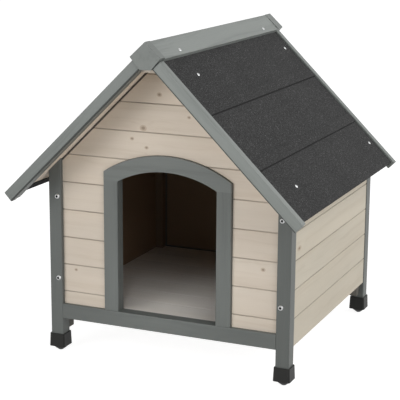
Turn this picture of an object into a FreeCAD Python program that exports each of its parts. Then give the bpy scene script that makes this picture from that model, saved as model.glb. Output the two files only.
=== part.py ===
"""Timber dog house with a saddle roof, as a parametric assembly of separate pieces.

Frame: X runs across the front (right is positive), Y runs from the front to the back, Z is up.
The origin lies on the ground, under the middle of the overall box.  All sizes are millimetres.

The house stands on four corner posts with plastic foot caps.  Tongued boards close the walls, the
doorway has two jambs and a one-piece arched header, and two thin boarded roof slopes carry three
lapped sheets of roofing felt each, between painted barge boards and under a ridge cap.  The floor
panel lies loose on ledges inside.
"""
import FreeCAD
import Part
import Sketcher
import math
import os

# Driving sizes: alias, value, what it measures.
SIZES = (
    ("body_width", 600, "over the outer faces of the corner posts"),
    ("body_depth", 608, "front face of the front posts to back face of the back posts"),
    ("ridge_underside", 734, "ground to the line where the undersides of both roof slopes meet"),
    ("roof_pitch", 44.5, "slope of both roof halves, degrees"),
    ("post_size", 32, "square section of a corner post"),
    ("timber_round", 2, "rounded long edges of posts, rails and jambs"),
    ("cap_skirt", 32, "height of the straight skirt of a foot cap"),
    ("cap_wall", 2.6, "wall of a foot cap round the post"),
    ("cap_flare", 1.4, "how much wider each side of a foot cap is at its base"),
    ("cap_floor", 4, "solid floor of a foot cap under the post"),
    ("cap_corner", 1.6, "corners of a foot cap cut back, along the diagonal"),
    ("cap_fit", 0.2, "play between a post and its foot cap"),
    ("dome_height", 12, "height of the domed glide below a foot cap"),
    ("dome_width", 34, "diameter of the domed glide where it meets the skirt"),
    ("dome_shoulder", 28.6, "diameter of the domed glide where its two zones meet"),
    ("dome_shoulder_drop", 4.8, "skirt to the line where the two zones of the glide meet"),
    ("dome_flat", 10, "diameter of the flat that the glide stands on"),
    ("rail_bottom", 84, "ground to the underside of the bottom rails"),
    ("rail_height", 36, "height of a bottom rail"),
    ("rail_depth", 30, "depth of a bottom rail, front to back"),
    ("board_pitch", 66.1, "height of one course of wall boards"),
    ("board_thickness", 10, "thickness of a wall board"),
    ("board_chamfer", 1.8, "chamfered outer edges of a wall board"),
    ("board_recess", 10, "front and back boards behind the faces of the posts"),
    ("gable_gap", 2.5, "front and back boards below the roof boards"),
    ("scribe_gap", 0.8, "front boards clear of the door frame"),
    ("side_recess", 2, "side boards behind the faces of the posts"),
    ("tongue_height", 4, "height of the tongue on a wall board"),
    ("tongue_thickness", 3, "thickness of the tongue on a wall board"),
    ("tongue_play", 0.3, "play of the tongue in its groove"),
    ("door_width", 244, "clear width between the jambs"),
    ("jamb_width", 36, "face width of the jambs and of the arched header"),
    ("jamb_depth", 28, "depth of the jambs and of the arched header"),
    ("jamb_height", 309.5, "length of a jamb above the bottom rail"),
    ("arch_radius", 252, "inner radius of the arched header"),
    ("frame_recess", 2, "face of the door frame behind the faces of the posts"),
    ("deck_thickness", 8, "thickness of a roof board"),
    ("eave_overhang", 59.7, "roof boarding past the faces of the posts, down the slope"),
    ("deck_board_count", 8, "roof boards on each slope"),
    ("deck_chamfer", 1, "chamfered edges of the roof and floor boards"),
    ("roof_front_overhang", 100, "front barge board ahead of the front posts"),
    ("roof_back_overhang", 24, "back barge board behind the back posts"),
    ("felt_thickness", 2, "thickness of a felt sheet"),
    ("felt_lap", 25, "length that one felt sheet lies over the next"),
    ("felt_ramp", 6, "length over which a sheet rises onto the next"),
    ("felt_upper_edge", 185, "ridge to the lower edge of the upper felt sheet, down the slope"),
    ("felt_middle_edge", 342, "ridge to the lower edge of the middle felt sheet, down the slope"),
    ("felt_wrap", 21, "felt turned under the eave"),
    ("barge_width", 22.6, "face width of a barge board"),
    ("barge_thickness", 19, "thickness of a barge board"),
    ("barge_proud", 4.3, "barge board above the felt"),
    ("barge_tail", 7, "barge board past the felt at the eave"),
    ("barge_round", 1.5, "rounded long edges of the barge boards and the ridge cap"),
    ("lath_width", 21, "painted lath behind the front barge board"),
    ("lath_round", 1, "rounded lower edges of the painted lath"),
    ("cap_board_thickness", 10, "thickness of a ridge cap board"),
    ("cap_board_reach", 31, "lower edge of the ridge cap, down the slope from the ridge"),
    ("cap_front_projection", 5, "ridge end block ahead of the front barge board"),
    ("cap_back_projection", 16, "ridge end block behind the back barge board"),
    ("block_drop", 31, "underside of a ridge end block below the underside of the ridge"),
    ("block_crown", 1, "ridge end block above the ridge cap at the ridge"),
    ("block_shoulder", 3, "ridge end block above the ridge cap at the cap's lower edges"),
    ("end_gap", 0.5, "gap between a barge board and the ridge end block"),
    ("beam_width", 40, "width of the ridge beam"),
    ("beam_drop", 39, "underside of the ridge beam below the underside of the ridge"),
    ("rafter_size", 20, "square section of a gable rafter"),
    ("batten_width", 20, "side batten across the house"),
    ("batten_depth", 20, "side batten along the house"),
    ("batten_bottom", 53, "ground to the lower end of a side batten"),
    ("batten_clearance", 16, "upper end of a side batten below the roof boards"),
    ("floor_top", 119, "ground to the upper face of the floor"),
    ("floor_thickness", 10, "thickness of a floor board"),
    ("floor_board_count", 7, "boards in the floor panel"),
    ("floor_gap", 0.6, "play between the floor panel and the rails"),
    ("floor_side_gap", 1.5, "play between the floor panel, the side boards and the battens"),
    ("ledge_height", 20, "height of a floor ledge"),
    ("cleat_width", 30, "width of a cleat under the floor"),
    ("cleat_height", 18, "height of a cleat under the floor"),
    ("cleat_from_side", 108, "middle of the outer cleats to the side boards"),
    ("cleat_inset", 12, "ends of the cleats inside the edges of the floor panel"),
    ("post_screw_low", 183, "ground to the lower screw of a post"),
    ("post_screw_high", 380, "ground to the upper screw of a post"),
    ("post_screw_head", 12, "head diameter of a post screw"),
    ("post_screw_length", 48, "shank length of a post screw"),
    ("screw_head_height", 2.6, "height of a screw head"),
    ("shank_diameter", 4, "shank diameter of a post screw"),
    ("bore_play", 0.2, "bore wider than the shank"),
    ("socket_width", 6.4, "hexagon socket in a screw head, across the corners"),
    ("socket_rim", 1, "flat ring round the hexagon socket"),
    ("recess_depth", 1.6, "depth of the recess in a screw head"),
)

# Places and lengths that follow from the driving sizes, written once.
HALF_WIDTH = "(dims.body_width / 2)"
INNER_HALF = "(dims.body_width / 2 - dims.post_size)"
SLOPE_SIN = "sin(dims.roof_pitch * 1 deg)"
SLOPE_COS = "cos(dims.roof_pitch * 1 deg)"
SLOPE_TAN = "tan(dims.roof_pitch * 1 deg)"
ROOF_LENGTH = "(dims.roof_front_overhang + dims.body_depth + dims.roof_back_overhang)"
RIDGE_LENGTH = f"({ROOF_LENGTH} + dims.cap_front_projection + dims.cap_back_projection)"
RIDGE_FRONT = f"(0 - {RIDGE_LENGTH} / 2)"
BARGE_FRONT = f"({RIDGE_FRONT} + dims.cap_front_projection)"
DECK_FRONT = f"({BARGE_FRONT} + dims.barge_thickness)"
DECK_LENGTH = f"({ROOF_LENGTH} - 2 * dims.barge_thickness)"
FRONT_FACE = f"({BARGE_FRONT} + dims.roof_front_overhang)"
BACK_FACE = f"({FRONT_FACE} + dims.body_depth)"
EAVE_REACH = f"({HALF_WIDTH} / {SLOPE_COS} + dims.eave_overhang)"
POST_BOTTOM = "(dims.dome_height + dims.cap_floor)"
RAIL_TOP = "(dims.rail_bottom + dims.rail_height)"
JAMB_TOP = f"({RAIL_TOP} + dims.jamb_height)"
ARCH_CENTRE = f"({JAMB_TOP} - sqrt(dims.arch_radius ^ 2 - (dims.door_width / 2) ^ 2))"
OUTER_RADIUS = "(dims.arch_radius + dims.jamb_width)"
FRAME_HALF = "(dims.door_width / 2 + dims.jamb_width)"
ARCH_SPRING = f"({ARCH_CENTRE} + sqrt({OUTER_RADIUS} ^ 2 - {FRAME_HALF} ^ 2))"
ARCH_TOP = f"({ARCH_CENTRE} + {OUTER_RADIUS})"
BEAM_HALF = "(dims.beam_width / 2)"
BEAM_BOTTOM = "(dims.ridge_underside - dims.beam_drop)"
FELT_TOP = "(dims.deck_thickness + dims.felt_thickness)"
CAP_TOP = f"({FELT_TOP} + dims.cap_board_thickness)"
BARGE_TOP = f"({FELT_TOP} + dims.barge_proud)"
BARGE_BOTTOM = f"({BARGE_TOP} - dims.barge_width)"
FLOOR_BOTTOM = "(dims.floor_top - dims.floor_thickness)"
FLOOR_LENGTH = "(dims.body_depth - 2 * dims.rail_depth - 2 * dims.floor_gap)"
SIDE_FACE = "(dims.body_width / 2 - dims.side_recess)"
BATTEN_OUTER = f"({SIDE_FACE} - dims.board_thickness)"
BATTEN_INNER = f"({BATTEN_OUTER} - dims.batten_width)"
BATTEN_TOP = f"(dims.ridge_underside - {BATTEN_OUTER} * {SLOPE_TAN} - dims.batten_clearance)"
BATTEN_CENTRE = f"({BATTEN_OUTER} - dims.batten_width / 2)"

PLANE_ROLES = {"XY": "XY_Plane", "XZ": "XZ_Plane", "YZ": "YZ_Plane"}
SIDES = (("left", -1), ("right", 1))

doc = FreeCAD.newDocument("dog_house")
nodes = []


# ---------------------------------------------------------------- sheet and sketch helpers

def make_sheet():
    """Put the driving sizes into the spreadsheet, one row each."""
    sheet = doc.addObject("Spreadsheet::Sheet", "dims")
    for row, (alias, value, note) in enumerate(SIZES, start=1):
        sheet.set(f"A{row}", note)
        sheet.set(f"B{row}", str(value))
        sheet.setAlias(f"B{row}", alias)
    doc.recompute()
    return sheet


def value_of(expression):
    """Present value of an expression over the sheet."""
    return float(sheet.evalExpression(expression))


def arc_through(start, end, radius):
    """Arc from start to end that bulges to the left of the way there, or to the right if radius < 0."""
    chord = end - start
    half = chord.Length / 2
    side = FreeCAD.Vector(-chord.y, chord.x, 0).normalize() * math.copysign(1, radius)
    sagitta = abs(radius) - math.sqrt(radius ** 2 - half ** 2)
    middle = (start + end) / 2 + side * sagitta
    return Part.Arc(start, middle, end)


def add_outline(sketch, corners):
    """Draw a closed outline; each corner is (across, up) or (across, up, radius of the arc that follows)."""
    points = [FreeCAD.Vector(value_of(corner[0]), value_of(corner[1]), 0) for corner in corners]
    count = len(corners)
    for index, corner in enumerate(corners):
        start = points[index]
        end = points[(index + 1) % count]
        if len(corner) == 3:
            radius = value_of(corner[2])
            sketch.addGeometry(arc_through(start, end, radius), False)
        else:
            sketch.addGeometry(Part.LineSegment(start, end), False)
    starts = [start_point(sketch, index, points[index]) for index in range(count)]
    for index in range(count):
        following = (index + 1) % count
        sketch.addConstraint(Sketcher.Constraint(
            "Coincident", index, 3 - starts[index], following, starts[following]))
    for index, corner in enumerate(corners):
        for kind, name, place, expression in (
                ("DistanceX", "across", points[index].x, corner[0]),
                ("DistanceY", "up", points[index].y, corner[1])):
            number = sketch.addConstraint(Sketcher.Constraint(kind, -1, 1, index, starts[index], place))
            bind_constraint(sketch, number, f"corner_{index}_{name}", expression)
        if len(corner) == 3:
            radius = abs(value_of(corner[2]))
            number = sketch.addConstraint(Sketcher.Constraint("Radius", index, radius))
            bind_constraint(sketch, number, f"radius_{index}", f"abs({corner[2]})")


def start_point(sketch, index, corner):
    """Which end of a sketch edge, 1 or 2, lies on the corner that it starts from."""
    return 1 if (sketch.getPoint(index, 1) - corner).Length < 1e-6 else 2


def bind_constraint(sketch, number, name, expression):
    """Name a sketch constraint and tie it to an expression."""
    sketch.renameConstraint(number, name)
    sketch.setExpression(f"Constraints.{name}", expression)


def new_sketch(body, plane, name):
    """Sketch on one of the body's own origin planes."""
    sketch = body.newObject("Sketcher::SketchObject", name)
    role = PLANE_ROLES[plane]
    origin_plane = next(item for item in body.Origin.OriginFeatures if item.Role == role)
    sketch.AttachmentSupport = (origin_plane, [""])
    sketch.MapMode = "FlatFace"
    return sketch


def lift_sketch(sketch, height):
    """Raise a sketch over the plane that it lies on."""
    sketch.setExpression(
        "AttachmentOffset", f"placement(vector(0; 0; {height}); rotation(vector(0; 0; 1); 0))")


def padded(name, plane, corners, length):
    """Body made by padding one outline; XZ outlines are padded towards +Y."""
    body = doc.addObject("PartDesign::Body", name)
    sketch = new_sketch(body, plane, f"{name}_outline")
    add_outline(sketch, corners)
    pad = body.newObject("PartDesign::Pad", f"{name}_pad")
    pad.Profile = sketch
    pad.setExpression("Length", length)
    pad.Reversed = plane == "XZ"
    return body


def rounded(body, radius, wanted):
    """Round the edges of the body's last feature that the test picks."""
    doc.recompute()
    base = body.Tip
    picked = [f"Edge{number}" for number, edge in enumerate(base.Shape.Edges, start=1) if wanted(edge)]
    fillet = body.newObject("PartDesign::Fillet", f"{body.Name}_round")
    fillet.Base = (base, picked)
    fillet.setExpression("Radius", radius)
    return body


def along(edge, axis):
    """True for a straight edge parallel to the given axis letter."""
    start = edge.Vertexes[0].Point
    end = edge.Vertexes[-1].Point
    run = end - start
    return run.Length > 1e-6 and abs(getattr(run, axis)) / run.Length > 0.9999


def place(item, across, back, up, turn=0):
    """Put an item at a point given by expressions, turned about Z by whole degrees."""
    item.setExpression(
        "Placement", f"placement(vector({across}; {back}; {up}); rotation(vector(0; 0; 1); {turn}))")
    return item


def place_on_slope(item, side, front, length):
    """Lay an item on a roof slope: its X runs down the slope, its Z stands square on the roof boards."""
    tilt = "rotation(vector(0; 1; 0); dims.roof_pitch)"
    if side > 0:
        start, turn = front, tilt
    else:
        start, turn = f"({front} + {length})", f"rotation(vector(0; 0; 1); 180) * {tilt}"
    item.setExpression("Placement", f"placement(vector(0; {start}; dims.ridge_underside); {turn})")
    return item


def combined(kind, name, base, tool):
    """Boolean of two items: Part::Cut or Part::Common."""
    result = doc.addObject(kind, name)
    result.Base = base
    result.Tool = tool
    return result


def grouped(name, items):
    """Several separate solids that share one node."""
    compound = doc.addObject("Part::Compound", name)
    compound.Links = items
    return compound


def node(item, label):
    """Register an item as a piece of the object."""
    item.Label = label
    nodes.append(item)
    return item


def rectangle(left, bottom, right, top):
    """Corners of an upright rectangle."""
    return [(left, bottom), (right, bottom), (right, top), (left, top)]


# ---------------------------------------------------------------- cutting shapes

def make_under_roof():
    """Everything below the undersides of the roof slopes."""
    wall_top = f"dims.ridge_underside - {HALF_WIDTH} * {SLOPE_TAN}"
    corners = [
        (f"0 - {HALF_WIDTH}", "0"),
        (HALF_WIDTH, "0"),
        (HALF_WIDTH, wall_top),
        ("0", "dims.ridge_underside"),
        (f"0 - {HALF_WIDTH}", wall_top),
    ]
    body = padded("under_roof", "XZ", corners, "dims.body_depth")
    return place(body, "0", FRONT_FACE, "0")


def make_gable_outline():
    """Outline of a gable wall: between the posts, over the rail, round the ridge beam."""
    roof_line = f"(dims.ridge_underside - dims.gable_gap / {SLOPE_COS})"
    shoulder = f"{roof_line} - {INNER_HALF} * {SLOPE_TAN}"
    beam_side = f"{roof_line} - {BEAM_HALF} * {SLOPE_TAN}"
    corners = [
        (f"0 - {INNER_HALF}", RAIL_TOP),
        (INNER_HALF, RAIL_TOP),
        (INNER_HALF, shoulder),
        (BEAM_HALF, beam_side),
        (BEAM_HALF, BEAM_BOTTOM),
        (f"0 - {BEAM_HALF}", BEAM_BOTTOM),
        (f"0 - {BEAM_HALF}", beam_side),
        (f"0 - {INNER_HALF}", shoulder),
    ]
    body = padded("gable_outline", "XZ", corners, "dims.body_depth")
    return place(body, "0", FRONT_FACE, "0")


def make_door_outline():
    """Room for the door frame, through the thickness of the front wall."""
    half = f"({FRAME_HALF} + dims.scribe_gap)"
    radius = f"({OUTER_RADIUS} + dims.scribe_gap)"
    spring = f"({ARCH_CENTRE} + sqrt({radius} ^ 2 - {half} ^ 2))"
    corners = [
        (f"0 - {half}", RAIL_TOP),
        (f"0 - {half}", spring, radius),
        (half, spring),
        (half, RAIL_TOP),
    ]
    body = padded("door_outline", "XZ", corners, "dims.jamb_depth + dims.board_recess")
    return place(body, "0", FRONT_FACE, "0")


# ---------------------------------------------------------------- wall boards

def make_board(name, length):
    """Tongued board: X along its length, outer face at Y = 0, lower shoulder at Z = 0."""
    middle = "(dims.board_thickness / 2)"
    tongue = "(dims.tongue_thickness / 2)"
    groove = "(dims.tongue_thickness / 2 + dims.tongue_play)"
    groove_top = "(dims.tongue_height + dims.tongue_play)"
    tongue_top = "(dims.board_pitch + dims.tongue_height)"
    chamfer = "dims.board_chamfer"
    corners = [
        ("0", chamfer),
        (chamfer, "0"),
        (f"{middle} - {groove}", "0"),
        (f"{middle} - {groove}", groove_top),
        (f"{middle} + {groove}", groove_top),
        (f"{middle} + {groove}", "0"),
        ("dims.board_thickness", "0"),
        ("dims.board_thickness", "dims.board_pitch"),
        (f"{middle} + {tongue}", "dims.board_pitch"),
        (f"{middle} + {tongue}", tongue_top),
        (f"{middle} - {tongue}", tongue_top),
        (f"{middle} - {tongue}", "dims.board_pitch"),
        (chamfer, "dims.board_pitch"),
        ("0", f"dims.board_pitch - {chamfer}"),
    ]
    return padded(name, "YZ", corners, length)


def course_bottom(course):
    """Height of the lower edge of a course of boards."""
    return f"(dims.rail_bottom + {course} * dims.board_pitch)"


def make_front_wall(gable, door):
    """Front boards: short ones beside the door, two scribed to the arch, whole ones above it."""
    beside = {"left": [], "right": []}
    scribed = {"left": [], "right": []}
    above = []
    face = f"({FRONT_FACE} + dims.board_recess)"
    course = 0
    while value_of(course_bottom(course)) < value_of(BEAM_BOTTOM):
        bottom = course_bottom(course)
        top = value_of(course_bottom(course + 1))
        if top <= value_of(ARCH_TOP):
            rows = scribed if top > value_of(JAMB_TOP) else beside
            for side, start in (("left", f"0 - {INNER_HALF}"), ("right", "0")):
                name = f"front_{side}_{course}"
                board = place(make_board(f"{name}_stock", INNER_HALF), start, face, bottom)
                trimmed = combined("Part::Common", f"{name}_trimmed", board, gable)
                rows[side].append(combined("Part::Cut", name, trimmed, door))
        else:
            name = f"front_{course}"
            board = place(make_board(f"{name}_stock", f"2 * {INNER_HALF}"), f"0 - {INNER_HALF}", face, bottom)
            trimmed = combined("Part::Common", f"{name}_trimmed", board, gable)
            above.append(combined("Part::Cut", name, trimmed, door))
        course += 1
    for side in ("left", "right"):
        node(grouped(f"front_beside_{side}", beside[side]), f"front_boards_{side}")
        node(grouped(f"front_scribed_{side}", scribed[side]), f"front_arch_board_{side}")
    node(above[0], "front_lintel_board")
    node(above[1], "front_gable_board")
    node(grouped("front_peak", above[2:]), "front_peak_boards")


def make_back_wall(gable):
    """Back boards: whole ones between the posts, then the ones that the roof line cuts."""
    whole = []
    cut = []
    shoulder = value_of(f"dims.ridge_underside - {INNER_HALF} * {SLOPE_TAN}")
    course = 0
    while value_of(course_bottom(course)) < value_of(BEAM_BOTTOM):
        name = f"back_{course}"
        board = make_board(f"{name}_stock", f"2 * {INNER_HALF}")
        place(board, INNER_HALF, f"({BACK_FACE} - dims.board_recess)", course_bottom(course), turn=180)
        trimmed = combined("Part::Common", name, board, gable)
        below = value_of(course_bottom(course + 1)) <= shoulder
        (whole if below else cut).append(trimmed)
        course += 1
    node(grouped("back_whole", whole), "back_boards")
    node(grouped("back_cut", cut), "back_gable_boards")


def make_side_wall(side, sign, under_roof):
    """Side boards between the posts, the top one ripped to the roof line."""
    rows = []
    length = "(dims.body_depth - 2 * dims.post_size)"
    start = f"({FRONT_FACE} + dims.post_size)" if sign > 0 else f"({BACK_FACE} - dims.post_size)"
    wall_top = value_of(f"dims.ridge_underside - {SIDE_FACE} * {SLOPE_TAN}")
    course = 0
    while value_of(course_bottom(course)) < wall_top:
        name = f"side_{side}_{course}"
        board = make_board(f"{name}_stock", length)
        place(board, f"{sign} * {SIDE_FACE}", start, course_bottom(course), turn=90 * sign)
        rows.append(combined("Part::Common", name, board, under_roof))
        course += 1
    node(grouped(f"side_rows_{side}", rows), f"side_boards_{side}")


# ---------------------------------------------------------------- frame

def make_post(name, sign, back, under_roof, bores):
    """Corner post, cut to the roof slope at its top and bored for its screws."""
    body = padded(f"{name}_stock", "XY", rectangle("0", "0", "dims.post_size", "dims.post_size"),
                  f"dims.ridge_underside - {POST_BOTTOM}")
    rounded(body, "dims.timber_round", lambda edge: along(edge, "z"))
    left = INNER_HALF if sign > 0 else f"0 - {HALF_WIDTH}"
    front = f"({BACK_FACE} - dims.post_size)" if back else FRONT_FACE
    place(body, left, front, POST_BOTTOM)
    trimmed = combined("Part::Common", f"{name}_trimmed", body, under_roof)
    node(combined("Part::Cut", f"{name}_bored", trimmed, bores), name)


def make_foot_cap(name, sign, back):
    """Plastic cap: flared skirt with cut corners round the post, over a domed glide."""
    top_half = "(dims.post_size / 2 + dims.cap_fit + dims.cap_wall)"
    corner_half = f"({top_half} * sqrt(2) - dims.cap_corner)"
    skirt = grouped_common(f"{name}_skirt", [
        make_flare(f"{name}_sides", f"({top_half} + dims.cap_flare)", top_half, "0", "dims.cap_skirt", 0),
        make_flare(f"{name}_corners", f"({corner_half} + dims.cap_flare)", corner_half, "0",
                   "dims.cap_skirt", 45),
    ])
    socket = doc.addObject("Part::Box", f"{name}_socket")
    play = "(dims.post_size / 2 + dims.cap_fit)"
    socket.setExpression("Length", f"2 * {play}")
    socket.setExpression("Width", f"2 * {play}")
    socket.setExpression("Height", "dims.cap_skirt")
    place(socket, f"0 - {play}", f"0 - {play}", "dims.cap_floor")
    solid = combined("Part::Fuse", f"{name}_solid", skirt, make_dome(f"{name}_dome"))
    cap = combined("Part::Cut", name, solid, socket)
    centre = f"{sign} * ({HALF_WIDTH} - dims.post_size / 2)"
    depth = f"({BACK_FACE} - dims.post_size / 2)" if back else f"({FRONT_FACE} + dims.post_size / 2)"
    node(place(cap, centre, depth, "dims.dome_height"), name)


def make_flare(name, base_half, top_half, bottom, top, turn):
    """Four-sided block between two heights, with its own half widths at its base and its top."""
    flare = doc.addObject("Part::Wedge", name)
    for low, high, half in (("Xmin", "Xmax", base_half), ("Zmin", "Zmax", base_half),
                            ("X2min", "X2max", top_half), ("Z2min", "Z2max", top_half)):
        flare.setExpression(low, f"0 - {half}")
        flare.setExpression(high, half)
    flare.setExpression("Ymin", bottom)
    flare.setExpression("Ymax", top)
    upright = f"rotation(vector(0; 0; 1); {turn}) * rotation(vector(1; 0; 0); 90)"
    flare.setExpression("Placement", f"placement(vector(0; 0; 0); {upright})")
    return flare


def grouped_common(name, items):
    """What several items have in common."""
    result = doc.addObject("Part::MultiCommon", name)
    result.Shapes = items
    return result


def make_dome(name):
    """Glide below the skirt: a many-sided dome in two zones with a small flat to stand on."""
    rim = "(dims.dome_width / 2)"
    shoulder = "(dims.dome_shoulder / 2)"
    flat = "(dims.dome_flat / 2)"
    bend = "(0 - dims.dome_shoulder_drop)"
    turns = (0, 22.5, 45, 67.5)
    upper = grouped_common(f"{name}_upper", [
        make_flare(f"{name}_upper_{number}", shoulder, rim, bend, "0", turn)
        for number, turn in enumerate(turns)])
    lower = grouped_common(f"{name}_lower", [
        make_flare(f"{name}_lower_{number}", flat, shoulder, "0 - dims.dome_height", bend, turn)
        for number, turn in enumerate(turns)])
    return combined("Part::Fuse", name, upper, lower)


def turn_profile(body, sketch):
    """Turn a sketch once round its upright axis."""
    turned = body.newObject("PartDesign::Revolution", f"{body.Name}_turned")
    turned.Profile = sketch
    turned.ReferenceAxis = (sketch, ["V_Axis"])
    turned.Angle = 360


def make_rail(name, back):
    """Bottom rail between two posts."""
    body = padded(name, "YZ", rectangle("0", "0", "dims.rail_depth", "dims.rail_height"), f"2 * {INNER_HALF}")
    rounded(body, "dims.timber_round", lambda edge: along(edge, "x"))
    if back:
        place(body, INNER_HALF, BACK_FACE, "dims.rail_bottom", turn=180)
    else:
        place(body, f"0 - {INNER_HALF}", FRONT_FACE, "dims.rail_bottom")
    node(body, name)


def make_door_frame():
    """Two jambs on the bottom rail and the arched header on top of them."""
    face = f"({FRONT_FACE} + dims.frame_recess)"
    for side, sign in SIDES:
        body = padded(f"door_jamb_{side}", "XY", rectangle("0", "0", "dims.jamb_width", "dims.jamb_depth"),
                      "dims.jamb_height")
        rounded(body, "dims.timber_round", lambda edge: along(edge, "z"))
        left = "dims.door_width / 2" if sign > 0 else f"0 - {FRAME_HALF}"
        node(place(body, left, face, RAIL_TOP), f"door_jamb_{side}")
    header = padded("door_header", "XZ", [
        (f"0 - {FRAME_HALF}", JAMB_TOP),
        (f"0 - {FRAME_HALF}", ARCH_SPRING, OUTER_RADIUS),
        (FRAME_HALF, ARCH_SPRING),
        (FRAME_HALF, JAMB_TOP),
        ("dims.door_width / 2", JAMB_TOP, "0 - dims.arch_radius"),
        ("0 - dims.door_width / 2", JAMB_TOP),
    ], "dims.jamb_depth")
    rounded(header, "dims.timber_round", lambda edge: not along(edge, "x") and not along(edge, "y"))
    node(place(header, "0", face, "0"), "door_header")


def make_side_battens(bores):
    """Upright battens that carry the side boards, screwed to the posts."""
    for side, sign in SIDES:
        left = BATTEN_INNER if sign > 0 else f"0 - {BATTEN_OUTER}"
        for end in ("front", "back"):
            name = f"side_batten_{end}_{side}"
            batten = doc.addObject("Part::Box", f"{name}_stock")
            batten.setExpression("Length", "dims.batten_width")
            batten.setExpression("Width", "dims.batten_depth")
            batten.setExpression("Height", f"{BATTEN_TOP} - dims.batten_bottom")
            front = f"({FRONT_FACE} + dims.post_size)"
            if end == "back":
                front = f"({BACK_FACE} - dims.post_size - dims.batten_depth)"
            place(batten, left, front, "dims.batten_bottom")
            node(combined("Part::Cut", f"{name}_bored", batten, bores), name)


def make_floor_ledges():
    """Ledges along the side boards that carry the floor panel."""
    for side, sign in SIDES:
        ledge = doc.addObject("Part::Box", f"floor_ledge_{side}")
        ledge.setExpression("Length", "dims.batten_width")
        ledge.setExpression("Width", "dims.body_depth - 2 * dims.post_size - 2 * dims.batten_depth")
        ledge.setExpression("Height", "dims.ledge_height")
        left = BATTEN_INNER if sign > 0 else f"0 - {BATTEN_OUTER}"
        front = f"({FRONT_FACE} + dims.post_size + dims.batten_depth)"
        node(place(ledge, left, front, f"{FLOOR_BOTTOM} - dims.ledge_height"), f"floor_ledge_{side}")


# ---------------------------------------------------------------- floor panel

def make_floor():
    """Loose floor panel: boards across the house on three cleats, notched round the battens."""
    width = f"({FLOOR_LENGTH} / dims.floor_board_count)"
    half = f"({BATTEN_OUTER} - dims.floor_side_gap)"
    start = f"({FRONT_FACE} + dims.rail_depth + dims.floor_gap)"
    notches = grouped("floor_notches", [
        make_floor_notch(side, sign, end) for side, sign in SIDES for end in ("front", "back")])
    boards = []
    for number in range(int(value_of("dims.floor_board_count"))):
        chamfer = "dims.deck_chamfer"
        corners = [
            ("0", "0"),
            (width, "0"),
            (width, f"dims.floor_thickness - {chamfer}"),
            (f"{width} - {chamfer}", "dims.floor_thickness"),
            (chamfer, "dims.floor_thickness"),
            ("0", f"dims.floor_thickness - {chamfer}"),
        ]
        board = padded(f"floor_board_{number}", "YZ", corners, f"2 * {half}")
        place(board, f"0 - {half}", f"({start} + {number} * {width})", FLOOR_BOTTOM)
        boards.append(board)
    panel = grouped("floor_panel", boards)
    node(combined("Part::Cut", "floor_panel_notched", panel, notches), "floor_boards")
    cleats = []
    for number in (-1, 0, 1):
        cleat = doc.addObject("Part::Box", f"floor_cleat_{number + 2}")
        cleat.setExpression("Length", "dims.cleat_width")
        cleat.setExpression("Width", f"{FLOOR_LENGTH} - 2 * dims.cleat_inset")
        cleat.setExpression("Height", "dims.cleat_height")
        left = f"{number} * ({BATTEN_OUTER} - dims.cleat_from_side) - dims.cleat_width / 2"
        front = f"({start} + dims.cleat_inset)"
        cleats.append(place(cleat, left, front, f"{FLOOR_BOTTOM} - dims.cleat_height"))
    node(grouped("floor_cleat_set", cleats), "floor_cleats")


def make_floor_notch(side, sign, end):
    """Room that a corner of the floor panel leaves for a post and its batten."""
    notch = doc.addObject("Part::Box", f"floor_notch_{end}_{side}")
    notch.setExpression("Length", f"{HALF_WIDTH} - {BATTEN_INNER} + dims.floor_side_gap")
    notch.setExpression("Width", "dims.post_size + dims.batten_depth + dims.floor_side_gap")
    notch.setExpression("Height", "2 * dims.floor_thickness")
    left = f"({BATTEN_INNER} - dims.floor_side_gap)" if sign > 0 else f"0 - {HALF_WIDTH}"
    front = FRONT_FACE
    if end == "back":
        front = f"({BACK_FACE} - dims.post_size - dims.batten_depth - dims.floor_side_gap)"
    return place(notch, left, front, f"{FLOOR_BOTTOM} - dims.floor_thickness / 2")


# ---------------------------------------------------------------- roof

def make_rafters():
    """Rafters inside the two gables, from the ridge beam to the posts."""
    low = "(0 - dims.rafter_size)"
    corners = [
        (plumb_cut(BEAM_HALF, low), low),
        (plumb_cut(INNER_HALF, low), low),
        (plumb_cut(INNER_HALF, "0"), "0"),
        (plumb_cut(BEAM_HALF, "0"), "0"),
    ]
    inside = "(dims.board_recess + dims.board_thickness)"
    fronts = {
        "front": f"({FRONT_FACE} + {inside})",
        "back": f"({BACK_FACE} - {inside} - dims.rafter_size)",
    }
    for end, front in fronts.items():
        for side, sign in SIDES:
            name = f"{end}_rafter_{side}"
            rafter = padded(name, "XZ", corners, "dims.rafter_size")
            node(place_on_slope(rafter, sign, front, "dims.rafter_size"), name)


def plumb_cut(across, height):
    """Place down the slope where an upright plane at this distance from the middle cuts a height."""
    return f"(({across} - {height} * {SLOPE_SIN}) / {SLOPE_COS})"


def make_ridge_beam():
    """Beam under the ridge, resting on both gable walls."""
    shoulder = f"dims.ridge_underside - {BEAM_HALF} * {SLOPE_TAN}"
    beam = padded("ridge_beam", "XZ", [
        (f"0 - {BEAM_HALF}", BEAM_BOTTOM),
        (BEAM_HALF, BEAM_BOTTOM),
        (BEAM_HALF, shoulder),
        ("0", "dims.ridge_underside"),
        (f"0 - {BEAM_HALF}", shoulder),
    ], DECK_LENGTH)
    node(place(beam, "0", DECK_FRONT, "0"), "ridge_beam")


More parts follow.
